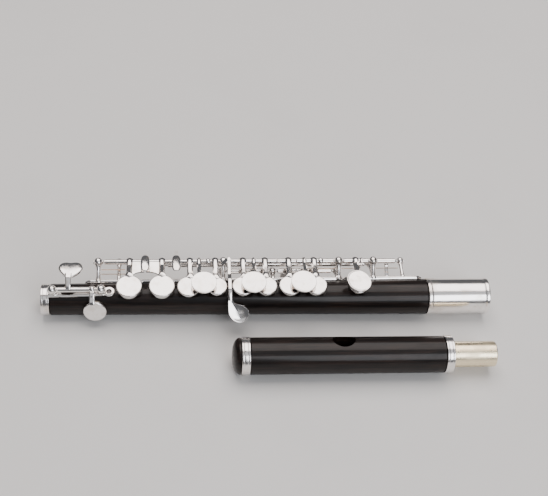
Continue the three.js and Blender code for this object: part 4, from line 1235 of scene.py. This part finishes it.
def add_key(key, grids):
    """A key's metal, which stands for the CAD key on the same body."""
    add(key + "_key", grids, "silver_plate", key, on_key(key + "_pivot"))


class PICCOLO_OT_body_wood(bpy.types.Operator):
    """Turn the body joint's wood, with its bore, flat seats and tone holes"""

    bl_idname = "piccolo.body_wood"
    bl_label = "Body wood"

    def execute(self, context):
        piece("body_wood_finish", body_wood_mesh(), "grenadilla", "body_joint", ["body_wood"])
        return {"FINISHED"}


class PICCOLO_OT_body_rings(bpy.types.Operator):
    """Turn the foot ring, the barrel and its socket liner"""

    bl_idname = "piccolo.body_rings"
    bl_label = "Barrel and foot ring"

    def execute(self, context):
        for name, grids, finish, slot in (
            ("foot_ring", foot_ring_grids(), "barrel_plate", "silver_plate"),
            ("barrel", barrel_grids(), "barrel_plate", "silver_plate"),
            ("socket_liner", liner_grids(), "nickel_silver", "nickel_silver"),
        ):
            add(name, grids, finish, "body_joint", on_body)
        return {"FINISHED"}


class PICCOLO_OT_ribs(bpy.types.Operator):
    """Lay the ribs and the foot strap and stand their posts on them"""

    bl_idname = "piccolo.ribs"
    bl_label = "Ribs and posts"

    def execute(self, context):
        for name in RIBS:
            add(name, rib_grids(name), "silver_plate", "body_joint", on_body)
        add("foot_strap", strap_grids(), "silver_plate", "body_joint", on_body)
        # The strap screw's steel is darkened as painted shade of its recess.
        add("strap_screw", strap_screw_grids(), "screw_shade_steel", "body_joint", on_body)
        return {"FINISHED"}


class PICCOLO_OT_steels(bpy.types.Operator):
    """Give the hinge steels and needle springs their finish"""

    bl_idname = "piccolo.steels"
    bl_label = "Steels and springs"

    def execute(self, context):
        dress(STEELS, "hinge_steel")
        dress(NEEDLES, "spring_bronze")
        return {"FINISHED"}


class PICCOLO_OT_main_keys(bpy.types.Operator):
    """Build the eight keys on the main hinge line"""

    bl_idname = "piccolo.main_keys"
    bl_label = "Main keys"

    def execute(self, context):
        for key in MAIN_KEYS:
            add_key(key, main_key_grids(key))
        return {"FINISHED"}


class PICCOLO_OT_touches(bpy.types.Operator):
    """Set the four finger touches on their arms"""

    bl_idname = "piccolo.touches"
    bl_label = "Finger touches"

    def execute(self, context):
        for key, facts in MAIN_KEYS.items():
            if "touch" not in facts:
                continue
            name = facts["touch"]
            x, _, radius, stand, lean = TOUCHES[name]
            disc = touch_grid(x, radius, stand, lean)
            mesh = mesh_of(name + "_finish", [disc], on_key(key + "_pivot"))
            piece(name + "_finish", mesh, "silver_plate", key, [name + "_touch"])
        return {"FINISHED"}


class PICCOLO_OT_little_finger_keys(bpy.types.Operator):
    """Build the E flat key with its heart and the G sharp key with its spoon"""

    bl_idname = "piccolo.little_finger_keys"
    bl_label = "E flat and G sharp keys"

    def execute(self, context):
        add_key("e_flat", e_flat_grids())
        add_key("g_sharp", g_sharp_grids())
        return {"FINISHED"}


class PICCOLO_OT_thumb_keys(bpy.types.Operator):
    """Build the two thumb keys on the low line at the back"""

    bl_idname = "piccolo.thumb_keys"
    bl_label = "Thumb keys"

    def execute(self, context):
        add_key("thumb_b", thumb_b_grids())
        add("thumb_b_flat_lever", thumb_b_flat_grids(), "silver_plate", "thumb_b_flat",
            on_key("thumb_b_flat_pivot"))
        return {"FINISHED"}


class PICCOLO_OT_trill_keys(bpy.types.Operator):
    """Build the two trill keys with their long tubes"""

    bl_idname = "piccolo.trill_keys"
    bl_label = "Trill keys"

    def execute(self, context):
        add_key("d_trill", trill_grids("d_trill", (38.1, 169.2), 48.0, 1.1))
        add_key("d_sharp_trill", trill_grids("d_sharp_trill", (58.4, 154.7), 62.5, 1.8))
        return {"FINISHED"}


class PICCOLO_OT_pads(bpy.types.Operator):
    """Fill the cups with their pads"""

    bl_idname = "piccolo.pads"
    bl_label = "Pads"

    def execute(self, context):
        for name in CUPS:
            body = "g" if name in ("lower_g", "upper_g") else name
            add(name + "_pad", [pad_grid(name)], "pad_skin", body, on_key(body + "_pivot"))
        return {"FINISHED"}


class PICCOLO_OT_head_wood(bpy.types.Operator):
    """Turn the head joint's wood, with its bore and blow hole"""

    bl_idname = "piccolo.head_wood"
    bl_label = "Head wood"

    def execute(self, context):
        piece("head_wood_finish", head_wood_mesh(), "grenadilla", "head_joint", ["head_wood"])
        return {"FINISHED"}


class PICCOLO_OT_head_fittings(bpy.types.Operator):
    """Turn the head joint's crown, rings, tenon and stopper"""

    bl_idname = "piccolo.head_fittings"
    bl_label = "Crown, rings, tenon and stopper"

    def execute(self, context):
        wood, ring, ring_end, _ = head_stations()
        crown_ring = ring_grid(HEAD["crown"], wood, HEAD["collar"] + GAP, (5.1, 6.9))
        head_ring = ring_grid(ring, ring_end, HEAD["tenon_radius"] + GAP, (ring + 1.0, ring_end - 1.0))
        for name, body, grids, finish, slot in (
            ("crown", "crown", [crown_grid()], "grenadilla", "grenadilla"),
            ("crown_ring", "head_joint", [crown_ring], "barrel_plate", "silver_plate"),
            ("head_ring", "head_joint", [head_ring], "barrel_plate", "silver_plate"),
            ("tenon", "head_joint", [tenon_grid()], "nickel_silver", "nickel_silver"),
            ("stopper_cork", "head_joint", stopper_grids(), "cork", "cork"),
            ("stopper_screw", "head_joint", stopper_screw_grids(), "hinge_steel", "nickel_silver"),
        ):
            add(name, grids, finish, body, on_head)
        return {"FINISHED"}


def area_light(name, place, aim, size, power, tint):
    """A softbox at a place, turned to face the aim."""
    data = bpy.data.lights.new(name, "AREA")
    data.shape = "RECTANGLE"
    data.size, data.size_y = size
    data.energy = power
    data.color = tint
    thing = bpy.data.objects.new(name, data)
    bpy.context.scene.collection.objects.link(thing)
    thing.matrix_world = facing(Vector(place), Vector(aim))


def facing(place, aim):
    """A matrix at the place whose -Z looks at the aim, with +Y as near up as can be."""
    turn = (aim - place).to_track_quat("-Z", "Y")
    return Matrix.Translation(place) @ turn.to_matrix().to_4x4()


def floor_material(tone):
    """A pale matt floor with a faint unevenness of tone."""
    made, tree, shader, vector = bare_material("pale_floor", 0.0, Roughness=0.75, Specular_IOR_Level=0.25)
    marks = placed_group(tree, handling_group(), (-760, 0), vector, Scale=9.0, Polish=0.7, Spread=0.1)
    two_tones(tree, shader, marks.outputs["Mask"], tone, tuple(0.97 * part for part in tone))
    return made


class PICCOLO_OT_stage(bpy.types.Operator):
    """Lay the pale floor, set the softboxes and place the camera"""

    bl_idname = "piccolo.stage"
    bl_label = "Stage"

    def execute(self, context):
        look = context.scene.piccolo_stage
        reach, rows = 3.0, np.linspace(-1, 1, 3)
        x, y = np.meshgrid(rows * reach, rows * reach, indexing="ij")
        corners = np.stack([x, y, np.full_like(x, cad_box[0][2] - 0.00005)], -1).reshape(-1, 3)
        i, j = np.meshgrid([0, 1], [0, 1], indexing="ij")
        first = (i * 3 + j).ravel()
        quads = np.stack([first, first + 3, first + 4, first + 1], 1)
        mesh = bpy.data.meshes.new("floor")
        mesh.from_pydata(corners.tolist(), [], quads.tolist())
        mesh.materials.append(floor_material(tuple(look.floor)))
        floor = bpy.data.objects.new("floor", mesh)
        context.scene.collection.objects.link(floor)

        middle = (0.0, 0.0, 0.01)
        area_light("overhead_softbox", (0.05, 0.46, 1.43), middle, (1.5, 1.4), look.overhead,
                   (1.0, 0.935, 0.905))
        area_light("front_softbox", (0.45, -0.98, 0.74), middle, (0.7, 0.72), look.front, (0.94, 0.96, 1.0))
        area_light("fill_softbox", (0.1, -0.95, 1.75), middle, (2.2, 1.0), look.fill, (0.97, 0.97, 1.0))
        world = bpy.data.worlds.new("room")
        world.use_nodes = True
        background = world.node_tree.nodes["Background"]
        background.inputs["Color"].default_value = (0.92, 0.94, 1.0, 1.0)
        background.inputs["Strength"].default_value = look.world
        context.scene.world = world

        data = bpy.data.cameras.new("camera")
        data.lens = look.lens
        data.sensor_width = 36.0
        data.clip_start = 0.01
        camera = bpy.data.objects.new("camera", data)
        context.scene.collection.objects.link(camera)
        right, up, back = CAMERA["right"], CAMERA["up"], CAMERA["back"]
        turn = Matrix((right, up, back)).transposed()
        camera.matrix_world = Matrix.Translation(CAMERA["place"]) @ turn.to_4x4()
        context.scene.camera = camera
        return {"FINISHED"}


CAMERA = {
    "place": (-0.0515, -0.303845, 0.366651),
    "right": (0.99366, -0.07668, 0.08225),
    "up": (-0.00242, 0.71667, 0.69740),
    "back": (-0.11242, -0.69318, 0.71194),
}

STEPS = (
    PICCOLO_OT_stage, PICCOLO_OT_body_wood, PICCOLO_OT_body_rings, PICCOLO_OT_ribs, PICCOLO_OT_steels,
    PICCOLO_OT_main_keys, PICCOLO_OT_touches, PICCOLO_OT_little_finger_keys, PICCOLO_OT_thumb_keys,
    PICCOLO_OT_trill_keys, PICCOLO_OT_pads, PICCOLO_OT_head_wood, PICCOLO_OT_head_fittings,
)


class PICCOLO_PT_panel(bpy.types.Panel):
    """The settings and the steps, in the order they are run"""

    bl_label = "Piccolo"
    bl_idname = "PICCOLO_PT_panel"
    bl_space_type = "VIEW_3D"
    bl_region_type = "UI"
    bl_category = "Piccolo"

    def draw(self, context):
        scene = context.scene
        for settings in (scene.piccolo_sizes, scene.piccolo_finishes, scene.piccolo_stage):
            box = self.layout.box()
            for name in settings.bl_rna.properties.keys():
                if name not in ("rna_type", "name"):
                    box.prop(settings, name)
        for step in STEPS:
            self.layout.operator(step.bl_idname)


SETTINGS = (PiccoloSizes, PiccoloFinishes, PiccoloStage)


def register():
    for kind in (*SETTINGS, *STEPS, PICCOLO_PT_panel):
        bpy.utils.register_class(kind)
    bpy.types.Scene.piccolo_sizes = bpy.props.PointerProperty(type=PiccoloSizes)
    bpy.types.Scene.piccolo_finishes = bpy.props.PointerProperty(type=PiccoloFinishes)
    bpy.types.Scene.piccolo_stage = bpy.props.PointerProperty(type=PiccoloStage)


def unregister():
    del bpy.types.Scene.piccolo_stage
    del bpy.types.Scene.piccolo_finishes
    del bpy.types.Scene.piccolo_sizes
    for kind in reversed((*SETTINGS, *STEPS, PICCOLO_PT_panel)):
        bpy.utils.unregister_class(kind)


def main():
    register()
    for step in STEPS:
        family, action = step.bl_idname.split(".")
        getattr(getattr(bpy.ops, family), action)()
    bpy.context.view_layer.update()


if __name__ == "__main__":
    main()
